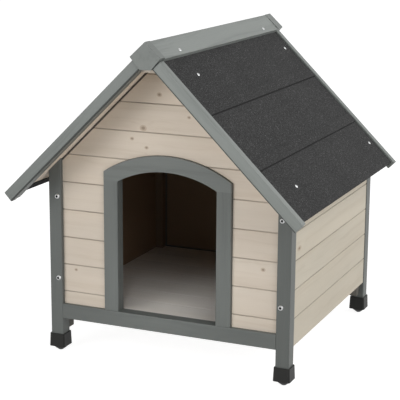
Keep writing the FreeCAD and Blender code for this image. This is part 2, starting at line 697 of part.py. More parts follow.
def make_deck(side, sign):
    """Roof boards of one slope, parallel to the ridge, mitred where the slopes meet."""
    width = f"({EAVE_REACH} / dims.deck_board_count)"
    boards = []
    for number in range(int(value_of("dims.deck_board_count"))):
        upper = f"({number} * {width})"
        lower = f"({number + 1} * {width})"
        corners = [
            (f"{lower} - dims.deck_chamfer", "0"),
            (lower, "dims.deck_chamfer"),
            (lower, "dims.deck_thickness"),
        ]
        if number == 0:
            corners += [(f"0 - dims.deck_thickness * {SLOPE_TAN}", "dims.deck_thickness"), ("0", "0")]
        else:
            corners += [
                (upper, "dims.deck_thickness"),
                (upper, "dims.deck_chamfer"),
                (f"{upper} + dims.deck_chamfer", "0"),
            ]
        board = padded(f"deck_{side}_{number}", "XZ", corners, DECK_LENGTH)
        boards.append(place_on_slope(board, sign, DECK_FRONT, DECK_LENGTH))
    node(grouped(f"deck_{side}", boards), f"roof_boards_{side}")


def make_felt(side, sign, lath):
    """Three felt sheets, each lying over the one below it, the lowest turned under the eave."""
    low = "dims.deck_thickness"
    high = FELT_TOP
    lapped = f"({FELT_TOP} + dims.felt_thickness)"
    eave = EAVE_REACH
    lower_start = "(dims.felt_middle_edge - dims.felt_lap)"
    middle_start = "(dims.felt_upper_edge - dims.felt_lap)"

    def lapping(start_low, start_high, over, edge):
        """Outline of a sheet that runs flat, rises at the lap and ends on the next sheet."""
        return [
            (start_low, low),
            (f"({over} - dims.felt_ramp)", low),
            (over, high),
            (edge, high),
            (edge, lapped),
            (over, lapped),
            (f"({over} - dims.felt_ramp)", high),
            (start_high, high),
        ]

    outlines = {
        "upper": lapping(f"0 - {low} * {SLOPE_TAN}", f"0 - {high} * {SLOPE_TAN}",
                         middle_start, "dims.felt_upper_edge"),
        "middle": lapping(middle_start, middle_start, lower_start, "dims.felt_middle_edge"),
        "lower": [
            (lower_start, low),
            (eave, low),
            (eave, "0"),
            (f"{eave} - dims.felt_wrap", "0"),
            (f"{eave} - dims.felt_wrap", "0 - dims.felt_thickness"),
            (f"{eave} + dims.felt_thickness", "0 - dims.felt_thickness"),
            (f"{eave} + dims.felt_thickness", high),
            (lower_start, high),
        ],
    }
    for level, corners in outlines.items():
        name = f"felt_{level}_{side}"
        sheet_body = padded(f"{name}_sheet", "XZ", corners, DECK_LENGTH)
        place_on_slope(sheet_body, sign, DECK_FRONT, DECK_LENGTH)
        if level == "lower":
            sheet_body = combined("Part::Cut", f"{name}_notched", sheet_body, lath)
        node(sheet_body, name)


def make_front_lath(side, sign):
    """Painted lath under the roof boards, right behind the front barge board."""
    corners = [
        (plumb_cut(BEAM_HALF, BARGE_BOTTOM), BARGE_BOTTOM),
        (EAVE_REACH, BARGE_BOTTOM),
        (EAVE_REACH, "0"),
        (plumb_cut(BEAM_HALF, "0"), "0"),
    ]
    lath = padded(f"front_lath_{side}", "XZ", corners, "dims.lath_width")
    rounded(lath, "dims.lath_round",
            lambda edge: along(edge, "x") and edge.CenterOfMass.z < value_of(BARGE_BOTTOM) / 2)
    return node(place_on_slope(lath, sign, DECK_FRONT, "dims.lath_width"), f"front_lath_{side}")


def make_barges():
    """Barge boards on the edges of both slopes, front and back."""
    upper = "(dims.cap_board_reach + dims.end_gap)"
    lower = f"({EAVE_REACH} + dims.felt_thickness + dims.barge_tail)"
    corners = rectangle(upper, BARGE_BOTTOM, lower, BARGE_TOP)
    fronts = {"front": BARGE_FRONT, "back": f"({DECK_FRONT} + {DECK_LENGTH})"}
    for end, front in fronts.items():
        for side, sign in SIDES:
            name = f"{end}_barge_{side}"
            barge = padded(name, "XZ", corners, "dims.barge_thickness")
            rounded(barge, "dims.barge_round",
                    lambda edge: along(edge, "x") or edge.CenterOfMass.x > value_of(EAVE_REACH))
            node(place_on_slope(barge, sign, front, "dims.barge_thickness"), name)


def make_ridge_cap():
    """Two cap boards mitred along the ridge, between the end blocks."""
    for side, sign in SIDES:
        corners = [
            (f"0 - {FELT_TOP} * {SLOPE_TAN}", FELT_TOP),
            ("dims.cap_board_reach", FELT_TOP),
            ("dims.cap_board_reach", CAP_TOP),
            (f"0 - {CAP_TOP} * {SLOPE_TAN}", CAP_TOP),
        ]
        board = padded(f"ridge_cap_{side}", "XZ", corners, DECK_LENGTH)
        node(place_on_slope(board, sign, DECK_FRONT, DECK_LENGTH), f"ridge_cap_{side}")


def make_end_blocks():
    """Six-sided blocks that close both ends of the ridge and take the upper ends of the barge boards."""
    reach = "dims.cap_board_reach"
    ridge = "dims.ridge_underside"
    side_x = f"({reach} * {SLOPE_COS} + {CAP_TOP} * {SLOPE_SIN})"
    side_z = f"({ridge} - {reach} * {SLOPE_SIN} + {CAP_TOP} * {SLOPE_COS} + dims.block_shoulder)"
    foot_x = f"({reach} * {SLOPE_COS} + ({reach} * {SLOPE_SIN} - dims.block_drop) * {SLOPE_TAN})"
    foot_z = f"({ridge} - dims.block_drop)"
    corners = [
        (f"0 - {foot_x}", foot_z),
        (foot_x, foot_z),
        (side_x, side_z),
        ("0", f"{ridge} + {CAP_TOP} / {SLOPE_COS} + dims.block_crown"),
        (f"0 - {side_x}", side_z),
    ]
    lengths = {
        "front": (RIDGE_FRONT, "(dims.cap_front_projection + dims.barge_thickness)"),
        "back": (f"({DECK_FRONT} + {DECK_LENGTH})", "(dims.cap_back_projection + dims.barge_thickness)"),
    }
    for end, (front, length) in lengths.items():
        block = padded(f"ridge_block_{end}", "XZ", corners, length)
        node(place(block, "0", front, "0"), f"ridge_block_{end}")


# ---------------------------------------------------------------- screws

def screw_places():
    """Placement expression of every post screw; a screw points along its own -Z."""
    return [
        f"placement(vector({sign} * {BATTEN_CENTRE}; {face}; {level}); rotation(vector(1; 0; 0); {turn}))"
        for sign in (-1, 1)
        for level in ("dims.post_screw_low", "dims.post_screw_high")
        for face, turn in ((FRONT_FACE, 90), (BACK_FACE, -90))
    ]


def make_screw(name):
    """Screw with a domed head on Z = 0, a plain shank below and a hexagon socket on top."""
    body = doc.addObject("PartDesign::Body", name)
    sketch = new_sketch(body, "XZ", f"{name}_outline")
    add_outline(sketch, [
        ("0", "0 - dims.post_screw_length"),
        ("dims.shank_diameter / 2", "0 - dims.post_screw_length"),
        ("dims.shank_diameter / 2", "0"),
        ("dims.post_screw_head / 2", "0"),
        ("dims.socket_width / 2 + dims.socket_rim", "dims.screw_head_height"),
        ("0", "dims.screw_head_height"),
    ])
    turn_profile(body, sketch)
    doc.recompute()
    socket = new_sketch(body, "XY", f"{name}_socket")
    lift_sketch(socket, "dims.screw_head_height")
    add_outline(socket, [
        (f"dims.socket_width / 2 * cos({turn} deg)", f"dims.socket_width / 2 * sin({turn} deg)")
        for turn in range(0, 360, 60)])
    pocket = body.newObject("PartDesign::Pocket", f"{name}_pocket")
    pocket.Profile = socket
    pocket.setExpression("Length", "dims.recess_depth")
    return body


def make_bores(places):
    """Bores for all shanks, as one cutting shape."""
    bores = []
    for number, spot in enumerate(places):
        bore = doc.addObject("Part::Cylinder", f"bore_{number}")
        bore.setExpression("Radius", "dims.shank_diameter / 2 + dims.bore_play / 2")
        bore.setExpression("Height", "dims.post_screw_length + dims.bore_play")
        bore.setExpression("Placement", spot[:-1] + " * rotation(vector(1; 0; 0); 180))")
        bores.append(bore)
    return grouped("screw_bores", bores)


def make_screws(places):
    """All post screws, as one node."""
    screws = []
    for number, spot in enumerate(places):
        screw = make_screw(f"post_screw_{number}")
        screw.setExpression("Placement", spot)
        screws.append(screw)
    node(grouped("post_screw_set", screws), "post_screws")


# ---------------------------------------------------------------- assembly

def build():
    """Model every piece."""
    places = screw_places()
    bores = make_bores(places)
    under_roof = make_under_roof()
    gable = make_gable_outline()
    door = make_door_outline()
    for end in ("front", "back"):
        for side, sign in SIDES:
            make_foot_cap(f"foot_cap_{end}_{side}", sign, end == "back")
            make_post(f"post_{end}_{side}", sign, end == "back", under_roof, bores)
        make_rail(f"{end}_rail", end == "back")
    make_door_frame()
    make_front_wall(gable, door)
    make_back_wall(gable)
    make_side_battens(bores)
    make_floor_ledges()
    make_rafters()
    make_ridge_beam()
    for side, sign in SIDES:
        make_side_wall(side, sign, under_roof)
        make_deck(side, sign)
        lath = make_front_lath(side, sign)
        make_felt(side, sign, lath)
    make_barges()
    make_ridge_cap()
    make_end_blocks()
    make_floor()
    make_screws(places)


def check():
    """Stop if any object failed or any piece has no valid solid."""
    for item in doc.Objects:
        if "Invalid" in item.State or "Error" in item.State:
            raise RuntimeError(f"{item.Name} failed: {item.State}")
    for item in nodes:
        shape = item.Shape
        if shape.isNull() or not shape.isValid() or not shape.Solids:
            raise RuntimeError(f"{item.Label} has no valid solid")


def export():
    """Write one STEP file for each piece."""
    os.makedirs("parts", exist_ok=True)
    for item in nodes:
        item.Shape.exportStep(os.path.join("parts", f"{item.Label}.step"))
    box = Part.makeCompound([item.Shape for item in nodes]).BoundBox
    print(f"{len(nodes)} nodes, box {box.XLength:.1f} x {box.YLength:.1f} x {box.ZLength:.1f} mm,",
          f"from {box.XMin:.1f} {box.YMin:.1f} {box.ZMin:.1f}")


sheet = make_sheet()
build()
doc.recompute()
check()
export()
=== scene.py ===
"""Looks of the dog house: finishes, small fasteners, light and camera.

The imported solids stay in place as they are.  Each one gets its finish here, and the small pieces that
the solids leave out, such as the roof screws, are modelled and set on the surface that carries them.
Lengths are metres; X runs across the front, Y from the front to the back, and Z is up.
"""

import logging
import math
from dataclasses import dataclass, field, replace
from enum import Enum
from typing import Callable

import bmesh
import bpy
from mathutils import Matrix, Vector

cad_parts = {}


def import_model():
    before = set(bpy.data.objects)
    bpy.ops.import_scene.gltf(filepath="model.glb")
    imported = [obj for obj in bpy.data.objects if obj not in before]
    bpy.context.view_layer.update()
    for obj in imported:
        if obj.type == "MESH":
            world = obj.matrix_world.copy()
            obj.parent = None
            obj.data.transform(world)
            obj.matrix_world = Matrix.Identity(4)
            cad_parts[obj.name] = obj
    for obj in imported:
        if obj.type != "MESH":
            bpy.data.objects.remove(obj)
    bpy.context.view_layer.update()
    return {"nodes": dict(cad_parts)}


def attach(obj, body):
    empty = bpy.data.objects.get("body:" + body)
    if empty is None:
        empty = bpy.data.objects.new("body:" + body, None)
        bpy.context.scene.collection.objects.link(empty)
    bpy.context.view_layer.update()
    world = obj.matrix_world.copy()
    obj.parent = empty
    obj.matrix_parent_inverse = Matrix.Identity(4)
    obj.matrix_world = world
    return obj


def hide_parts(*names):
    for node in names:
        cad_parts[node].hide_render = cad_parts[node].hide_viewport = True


LOG = logging.getLogger("dog_house")

Pair = tuple[float, float]
Triple = tuple[float, float, float]
Socket = bpy.types.NodeSocket
Nodes = dict[str, bpy.types.Object]

ROOF_PITCH = math.radians(44.5)
RIDGE_UNDERSIDE = 0.734
# Box of the cabin, whose inward faces get painted shade.
CABIN_CENTRE = (0.0, 0.0325, 0.35)
CABIN_HALF = (0.2885, 0.2845, 1.0)
CABIN_FLOOR = 0.092
SEAM_PROFILE = ((0.10, 1.0), (0.26, 0.4), (0.60, 0.0))
SEAM_WEAR = ((0.35, 0.65), (0.65, 1.0))
JOINT_SHADE = "20211f"
# Painted shade of a barge's lower arris, which faces down, away from the light.
ARRIS_PAINTED_SHADE = "2b2d2b"
# Painted shade in the narrow gap under the roof and on the sloped edges there.
ROOF_GAP_PAINTED_SHADE = "1c1712"
SMOOTH_ANGLE = math.radians(35)
WHITE = (1.0, 1.0, 1.0, 1.0)


# ------------------------------------------------------------------ node helper

class Graph:
    """Adds and links the nodes of one material."""

    def __init__(self, name: str) -> None:
        """Start a material with nothing but its output node.

        Args:
            name: name of the new material.
        """
        self.material = bpy.data.materials.new(name)
        self.material.use_nodes = True
        self.tree = self.material.node_tree
        self.tree.nodes.clear()
        self.output = self.tree.nodes.new("ShaderNodeOutputMaterial")

    def add(self, kind: str, inputs: dict | None = None, **settings: object) -> bpy.types.Node:
        """Add a node, set its options and feed its inputs.

        Args:
            kind: node type without the "ShaderNode" in front.
            inputs: input name or number to a value or to another node's output.
            settings: node options, such as operation or noise_dimensions.

        Returns:
            The new node.
        """
        node = self.tree.nodes.new(f"ShaderNode{kind}")
        for option, value in settings.items():
            setattr(node, option, value)
        for key, value in (inputs or {}).items():
            if isinstance(value, Socket):
                self.tree.links.new(value, node.inputs[key])
            else:
                node.inputs[key].default_value = value
        return node

    def math(self, operation: str, *values: object, clamp: bool = False) -> Socket:
        """Return the result of a Math node over up to three values or outputs."""
        return self.add("Math", dict(enumerate(values)), operation=operation, use_clamp=clamp).outputs[0]

    def vector(self, operation: str, *values: object) -> bpy.types.Node:
        """Return a Vector Math node over its values or outputs."""
        return self.add("VectorMath", dict(enumerate(values)), operation=operation)

    def parts(self, vector: object) -> bpy.types.bpy_prop_collection:
        """Return the three components of a vector."""
        return self.add("SeparateXYZ", {0: vector}).outputs

    def times(self, first: object, second: object) -> Socket:
        """Return the product of two values or outputs."""
        return self.math("MULTIPLY", first, second)

    def mix(self, factor: object, first: object, second: object, blend: str = "MIX"
            ) -> Socket:
        """Return the blend of two colours.

        Args:
            factor: share of the second colour.
            first: colour or output.
            second: colour or output.
            blend: blend type.

        Returns:
            The colour output.
        """
        node = self.add("Mix", {"Factor": factor, 6: first, 7: second}, data_type="RGBA", blend_type=blend)
        return node.outputs[2]

    def ramp(self, value: object, *stops: Pair) -> Socket:
        """Return a value passed through straight steps of a float curve.

        Args:
            value: output that drives the curve.
            stops: (position, level) pairs in rising order.

        Returns:
            The level output.
        """
        node = self.add("ValToRGB", {"Fac": value})
        elements = node.color_ramp.elements
        while len(elements) < len(stops):
            elements.new(0.5)
        for element, (position, level) in zip(elements, stops):
            element.position = position
            element.color = (level, level, level, 1.0)
        return node.outputs[0]

    def noise(self, vector: object, scale: float, detail: float = 3.0, roughness: float = 0.5
              ) -> bpy.types.Node:
        """Return a Noise node over a vector."""
        return self.add("TexNoise", {"Vector": vector, "Scale": scale, "Detail": detail,
                                     "Roughness": roughness})

    def stretch(self, vector: object, scale: Triple) -> Socket:
        """Return a vector with each component scaled by its own factor."""
        return self.add("Mapping", {"Vector": vector, "Scale": scale}).outputs[0]

    def finish(self, shader: bpy.types.Node) -> bpy.types.Material:
        """Send a shader to the output and hand over the material."""
        self.tree.links.new(shader.outputs[0], self.output.inputs["Surface"])
        return self.material


def srgb(code: str) -> tuple[float, float, float, float]:
    """Linear colour of a hexadecimal screen colour such as "c8bbaa"."""
    levels = [int(code[start:start + 2], 16) / 255 for start in (0, 2, 4)]
    linear = [level / 12.92 if level <= 0.04045 else ((level + 0.055) / 1.055) ** 2.4 for level in levels]
    return (linear[0], linear[1], linear[2], 1.0)


def down_slope(graph: Graph, coordinates: object) -> Socket:
    """Distance from the ridge down either roof slope, from the object's coordinates."""
    across = graph.times(graph.math("ABSOLUTE", coordinates[0]), math.cos(ROOF_PITCH))
    return graph.math("MULTIPLY_ADD", graph.math("SUBTRACT", RIDGE_UNDERSIDE, coordinates[2]),
                      math.sin(ROOF_PITCH), across)


def over_slope(graph: Graph, coordinates: object) -> Socket:
    """Height over the underside of either slope's roof boards, from the object's coordinates."""
    across = graph.times(graph.math("ABSOLUTE", coordinates[0]), math.sin(ROOF_PITCH))
    return graph.math("MULTIPLY_ADD", graph.math("SUBTRACT", coordinates[2], RIDGE_UNDERSIDE),
                      math.cos(ROOF_PITCH), across)


# ------------------------------------------------------------------ finishes

class Grain(Enum):
    """Direction that the wood's fibres run in."""

    ACROSS = "across"
    DEPTH = "depth"
    UPRIGHT = "upright"
    RIGHT_SLOPE = "right slope"
    LEFT_SLOPE = "left slope"

    def turn(self) -> Triple:
        """Rotation, as Euler angles, that brings the fibres onto X."""
        quarter = math.pi / 2
        return {
            Grain.ACROSS: (0.0, 0.0, 0.0),
            Grain.DEPTH: (0.0, 0.0, -quarter),
            Grain.UPRIGHT: (0.0, quarter, 0.0),
            Grain.RIGHT_SLOPE: (0.0, -ROOF_PITCH, 0.0),
            Grain.LEFT_SLOPE: (0.0, ROOF_PITCH, 0.0),
        }[self]


@dataclass(frozen=True)
class Courses:
    """Where the joints between boards lie, so that each board gets its own pattern.

    Attributes:
        axis: number of the coordinate, after the turn onto the fibres, that counts the boards.
        start: coordinate of the first joint.
        pitch: width of one board.
        seam: how dark the joints are, 0 to 1.
        seam_reach: length that the profile of a joint's shade is given over.
    """

    axis: int
    start: float
    pitch: float
    seam: float = 0.0
    seam_reach: float = 0.004


@dataclass(frozen=True)
class WoodFinish:
    """Stained or painted pine.

    Attributes:
        name: name of the material.
        grain: direction of the fibres.
        light: screen colour between the growth lines.
        dark: screen colour of the growth lines.
        contrast: how far the growth lines show, 0 to 1.
        knots: share of the cells that hold a knot, 0 to 1.
        knot_spots: (X, Z, radius) of knots at known places on a front or back wall.
        roughness: roughness of the finish.
        relief: strength of the grain's relief.
        board_spread: how far boards differ in tone.
        courses: the boards that a group is made of.
        seed: shifts the pattern.
        tone: brightness of the whole piece.
        warmth: how far the stain drifts between warm and cool.
        ring: screen colour of the wood round a knot.
        core: screen colour of a knot.
        knot_strength: how far knots show through the finish, 0 to 1.
        joint: Y of an open joint that is dark from below, if any.
        arris: (Y, height over the roof boards' underside) in front of and below which shade is painted on a
            barge's lower arris.
        painted_roof_gap_shade: whether shade is painted on sloped edges and in the narrow gap under the roof.
        inside: screen colour of the faces that look into the cabin, if they differ: painted shade of the dark
            cabin, on the battens also their own stain.
    """

    name: str
    grain: Grain
    light: str
    dark: str
    contrast: float = 0.5
    knots: float = 0.0
    knot_spots: tuple[Triple, ...] = ()
    roughness: float = 0.62
    relief: float = 0.2
    board_spread: float = 0.0
    courses: Courses | None = None
    seed: float = 0.0
    tone: float = 1.0
    warmth: float = 0.02
    ring: str = "b39c84"
    core: str = "705e4d"
    knot_strength: float = 0.65
    joint: float | None = None
    arris: Pair | None = None
    painted_roof_gap_shade: bool = False
    inside: str | None = None

    def build(self) -> bpy.types.Material:
        """Make the material.

        Returns:
            A material that reads Object coordinates.
        """
        graph = Graph(self.name)
        place = graph.add("TexCoord").outputs["Object"]
        turned = graph.add("Mapping", {"Vector": place, "Rotation": self.grain.turn(),
                                       "Location": (self.seed, self.seed * 0.37, self.seed * 0.71)}).outputs[0]
        board_tone, turned = self._split_boards(graph, turned, place)
        warp = graph.noise(graph.stretch(turned, (3.5, 14.0, 14.0)), 1.0, 2.0)
        bent = graph.vector("MULTIPLY_ADD", warp.outputs["Color"], (0.0, 0.03, 0.03), turned).outputs[0]
        ring, core, bent = self._knots(graph, turned, bent)
        ring, core, bent = self._placed_knots(graph, place, ring, core, bent)
        rings = graph.stretch(bent, (1.3, 52.0, 52.0))
        growth = graph.noise(rings, 1.0, 4.0, 0.6).outputs[0]
        growth_line = graph.ramp(growth, (0.42, 0.0), (0.54, 0.3), (0.63, 1.0), (0.74, 0.1))
        fibres = graph.stretch(bent, (18.0, 700.0, 700.0))
        fibre = graph.noise(fibres, 1.0, 4.0, 0.65).outputs[0]
        broad = graph.noise(graph.stretch(turned, (2.6, 13.0, 13.0)),
                            1.0, 3.0)
        line = graph.times(growth_line, self.contrast)
        line = graph.math("MULTIPLY_ADD", graph.math("SUBTRACT", fibre, 0.5), self.contrast * 1.2, line,
                          clamp=True)
        colour = graph.mix(line, srgb(self.light), srgb(self.dark))
        colour = graph.mix(graph.times(ring, self.knot_strength), colour, srgb(self.ring))
        colour = graph.mix(graph.times(core, self.knot_strength), colour, srgb(self.core))
        level = graph.math("MULTIPLY_ADD", broad.outputs[0], 0.2 * self.tone, self.tone * 0.9)
        level = graph.times(level, board_tone)
        hue = graph.math("MULTIPLY_ADD", graph.add("SeparateColor", {0: broad.outputs["Color"]}).outputs[1],
                         2 * self.warmth, 1.0 - self.warmth)
        level = graph.add("CombineColor", {0: level, 1: graph.times(level, hue),
                                           2: graph.times(level, graph.times(hue, hue))})
        colour = graph.mix(1.0, colour, level.outputs[0], "MULTIPLY")
        colour = self._dark_parts(graph, place, colour)
        height = graph.math("MULTIPLY_ADD", growth_line, -0.5, fibre)
        bump = graph.add("Bump", {"Strength": self.relief, "Distance": 0.0004, "Height": height}).outputs[0]
        return graph.finish(graph.add("BsdfPrincipled", {
            "Base Color": colour, "Roughness": self.roughness, "Specular IOR Level": 0.35, "Normal": bump,
            "IOR": 1.46}))

    def _dark_parts(self, graph: Graph, place: Socket, colour: Socket
                    ) -> Socket:
        """Darken open joints, and paint shade on an arris, under the roof and inside the cabin.

        Args:
            graph: node helper.
            place: coordinates of the object.
            colour: colour so far.

        Returns:
            The colour with the dark joints and the painted shade.
        """
        normal = graph.parts(graph.add("NewGeometry").outputs["True Normal"])
        coordinates = graph.parts(place)
        if self.joint is not None:
            gap = graph.math("ABSOLUTE", graph.math("SUBTRACT", coordinates[1], self.joint))
            line = graph.ramp(graph.math("DIVIDE", gap, 0.004), (0.35, 0.85), (0.6, 0.0))
            below = graph.math("LESS_THAN", normal[2], -0.3)
            colour = graph.mix(graph.times(line, below), colour, srgb(JOINT_SHADE))
        # Painted shade on the lower arris, which faces down, away from the light.
        if self.arris is not None:
            limit, level = self.arris
            low = graph.math("LESS_THAN", over_slope(graph, coordinates), level)
            ahead = graph.math("LESS_THAN", coordinates[1], limit)
            colour = graph.mix(graph.times(graph.times(low, ahead), 0.8), colour,
                               srgb(ARRIS_PAINTED_SHADE))
        # Painted shade on sloped edges and in the narrow gap under the roof.
        if self.painted_roof_gap_shade:
            lean = graph.times(graph.math("ABSOLUTE", normal[0]), normal[2])
            rise = graph.math("MULTIPLY_ADD", over_slope(graph, coordinates), 1 / 0.006, 1.0)
            roof_gap_shade_mask = graph.math("MAXIMUM", graph.ramp(rise, (0.08, 0.0), (0.4, 0.9)),
                             graph.math("GREATER_THAN", lean, 0.4))
            colour = graph.mix(roof_gap_shade_mask, colour, srgb(ROOF_GAP_PAINTED_SHADE))
        # Painted shade on the faces that look into the dark cabin.
        if self.inside is not None:
            colour = graph.mix(self._cabin_faces(graph, place), colour, srgb(self.inside))
        return colour

    def _cabin_faces(self, graph: Graph, place: Socket) -> Socket:
        """Mask of the faces that look into the cabin, where shade is painted.

        Args:
            graph: node helper.
            place: coordinates of the object.

        Returns:
            1 on those faces, 0 elsewhere.
        """
        offset = graph.vector("SUBTRACT", place, CABIN_CENTRE).outputs[0]
        normal = graph.add("NewGeometry").outputs["True Normal"]
        inward = graph.math("LESS_THAN", graph.vector("DOT_PRODUCT", offset, normal).outputs["Value"], 0.0)
        share = graph.vector("ABSOLUTE", graph.vector("DIVIDE", offset, CABIN_HALF).outputs[0]).outputs[0]
        across, depth, _ = graph.parts(share)
        within = graph.math("LESS_THAN", graph.math("MAXIMUM", across, depth), 1.0)
        above = graph.math("GREATER_THAN", graph.parts(place)[2], CABIN_FLOOR)
        return graph.times(graph.times(inward, within), above)

    def _split_boards(self, graph: Graph, turned: Socket, place: Socket
                      ) -> tuple[object, Socket]:
        """Shift the pattern and the tone from board to board.

        Args:
            graph: node helper.
            turned: coordinates with the fibres along X.
            place: coordinates of the object.

        Returns:
            The tone of each board, and its shifted coordinates.
        """
        if self.courses is None:
            return 1.0, turned
        coordinates = graph.parts(place)
        source = coordinates[self.courses.axis] if self.courses.axis < 3 else down_slope(graph, coordinates)
        count = graph.math("DIVIDE", graph.math("SUBTRACT", source, self.courses.start), self.courses.pitch)
        board = graph.math("ADD", graph.math("FLOOR", count), self.seed * 7.3)
        chance = graph.add("TexWhiteNoise", {"W": board}, noise_dimensions="1D").outputs
        shift = graph.vector("MULTIPLY", chance["Color"], (3.0, 0.6, 0.6)).outputs[0]
        tone = graph.math("MULTIPLY_ADD", chance["Value"], 2 * self.board_spread, 1 - self.board_spread)
        if self.courses.seam:
            waver = graph.math("MULTIPLY_ADD", graph.noise(turned, 28.0, 2.0).outputs[0], 0.016, -0.008)
            part = graph.math("ABSOLUTE", graph.math("SUBTRACT", graph.math("FRACT", graph.math(
                "ADD", graph.math("ADD", count, waver), 0.5)), 0.5))
            reach = self.courses.pitch / self.courses.seam_reach
            line = graph.ramp(graph.times(part, reach), *SEAM_PROFILE)
            worn = graph.ramp(graph.noise(turned, 7.0, 2.0).outputs[0], *SEAM_WEAR)
            line = graph.times(line, worn)
            tone = graph.times(tone, graph.math("MULTIPLY_ADD", line, -self.courses.seam, 1.0))
        return tone, graph.vector("ADD", turned, shift).outputs[0]

    def _knots(self, graph: Graph, turned: Socket, bent: Socket
               ) -> tuple[object, object, Socket]:
        """Place knots and bend the fibres round them.

        Args:
            graph: node helper.
            turned: coordinates with the fibres along X.
            bent: coordinates that the growth lines follow.

        Returns:
            The masks of the knots' rings and cores, and the coordinates bent round them.
        """
        if self.knots <= 0.0:
            return 0.0, 0.0, bent
        cell = graph.stretch(turned, (7.0, 16.0, 16.0))
        knot = graph.add("TexVoronoi", {"Vector": cell, "Scale": 1.0, "Randomness": 0.9})
        chosen = graph.math("LESS_THAN", graph.add("SeparateColor", {0: knot.outputs["Color"]}).outputs[0],
                            self.knots)
        distance = knot.outputs["Distance"]
        ring = graph.times(graph.ramp(distance, (0.0, 1.0), (0.07, 0.8), (0.12, 0.0)), chosen)
        core = graph.times(graph.ramp(distance, (0.0, 1.0), (0.03, 0.9), (0.055, 0.0)), chosen)
        pull = graph.times(graph.ramp(distance, (0.0, 1.0), (0.4, 0.0)), chosen)
        push = graph.add("CombineXYZ", {1: graph.times(pull, 0.012),
                                        2: graph.times(pull, 0.012)}).outputs[0]
        return ring, core, graph.vector("ADD", bent, push).outputs[0]

    def _placed_knots(self, graph: Graph, place: Socket, ring: object, core: object,
                      bent: Socket) -> tuple[object, object, Socket]:
        """Add the knots whose places are known.

        Args:
            graph: node helper.
            place: coordinates of the object.
            ring: mask of the rings so far.
            core: mask of the cores so far.
            bent: coordinates that the growth lines follow.

        Returns:
            The two masks and the coordinates with these knots added.
        """
        for across, up, radius in self.knot_spots:
            offset = graph.vector("MULTIPLY", graph.vector("SUBTRACT", place, (across, 0.0, up)).outputs[0],
                                  (0.8 / radius, 0.0, 1.0 / radius)).outputs[0]
            distance = graph.vector("LENGTH", offset).outputs["Value"]
            ring = graph.math("MAXIMUM", ring, graph.ramp(distance, (0.5, 0.55), (0.8, 1.0), (1.0, 0.0)))
            core = graph.math("MAXIMUM", core, graph.ramp(distance, (0.0, 1.0), (0.4, 0.85), (0.62, 0.0)))
            pull = graph.times(graph.ramp(graph.times(distance, 0.25), (0.0, 1.0), (1.0, 0.0)),
                              radius)
            push = graph.add("CombineXYZ", {1: pull, 2: pull}).outputs[0]
            bent = graph.vector("ADD", bent, push).outputs[0]
        return ring, core, bent


@dataclass(frozen=True)
class FeltFinish:
    """Bitumen roofing felt faced with slate granules, black at its cut edges, with shadow painted below each
    lap.

    Attributes:
        name: name of the material.
        granule: width of a granule.
        granule_shades: (share, brightness) steps over the granules.
        lap_edges: distances down the slope of the sheets' upper laps.
        lap_shade: width of the dark band at a lap: painted shadow on the sheet below the upper sheet's black
            edge.
        edge_and_lap_shadow_level: brightness of the bitumen at cut edges, and of the painted shadow at the
            laps.
    """

    name: str = "roofing_felt"
    granule: float = 0.0013
    granule_shades: tuple[Pair, ...] = (
        (0.0, 0.029), (0.5, 0.040), (0.85, 0.056), (0.955, 0.085), (1.0, 0.19))
    lap_edges: Pair = (0.185, 0.342)
    lap_shade: float = 0.0028
    edge_and_lap_shadow_level: float = 0.006

    def build(self) -> bpy.types.Material:
        """Make the material.

        Returns:
            A material with granules as colour and relief.
        """
        graph = Graph(self.name)
        place = graph.add("TexCoord").outputs["Object"]
        grains = graph.add("TexVoronoi", {"Vector": place, "Scale": 1 / self.granule, "Randomness": 1.0})
        lot = graph.add("SeparateColor", {0: grains.outputs["Color"]}).outputs[0]
        shade = graph.ramp(lot, *self.granule_shades)
        drift = graph.noise(place, 11.0, 3.0).outputs[0]
        clumps = graph.noise(place, 340.0, 2.0, 0.7).outputs[0]
        level = graph.math("MULTIPLY_ADD", drift, 0.4, 0.72)
        level = graph.times(level, graph.math("MULTIPLY_ADD", clumps, 2.6, -0.36))
        colour = graph.mix(1.0, shade, graph.add("CombineColor", {0: level, 1: level, 2: level}).outputs[0],
                           "MULTIPLY")
        facing = graph.parts(graph.add("NewGeometry").outputs["Normal"])[2]
        cut_edge_and_lap_shadow = graph.ramp(graph.math("MULTIPLY_ADD", facing, 0.5, 0.5), (0.70, 1.0), (0.80, 0.0))
        coordinates = graph.parts(place)
        reach = down_slope(graph, coordinates)
        # Painted shadow below each lap, next to the upper sheet's black edge.
        for edge in self.lap_edges:
            gap = graph.math("ABSOLUTE", graph.math("SUBTRACT", reach, edge + self.lap_shade / 2))
            cut_edge_and_lap_shadow = graph.math("MAXIMUM", cut_edge_and_lap_shadow, graph.ramp(
                graph.math("DIVIDE", gap, self.lap_shade), (0.35, 0.8), (0.65, 0.0)))
        colour = graph.mix(cut_edge_and_lap_shadow, colour, (self.edge_and_lap_shadow_level,) * 3 + (1.0,))
        height = graph.times(lot, graph.math("SUBTRACT", 1.0, cut_edge_and_lap_shadow))
        bump = graph.add("Bump", {"Strength": 0.35, "Distance": 0.0005, "Height": height}).outputs[0]
        return graph.finish(graph.add("BsdfPrincipled", {
            "Base Color": colour, "Roughness": 0.86, "Specular IOR Level": 0.2, "Normal": bump,
            "IOR": 1.45}))


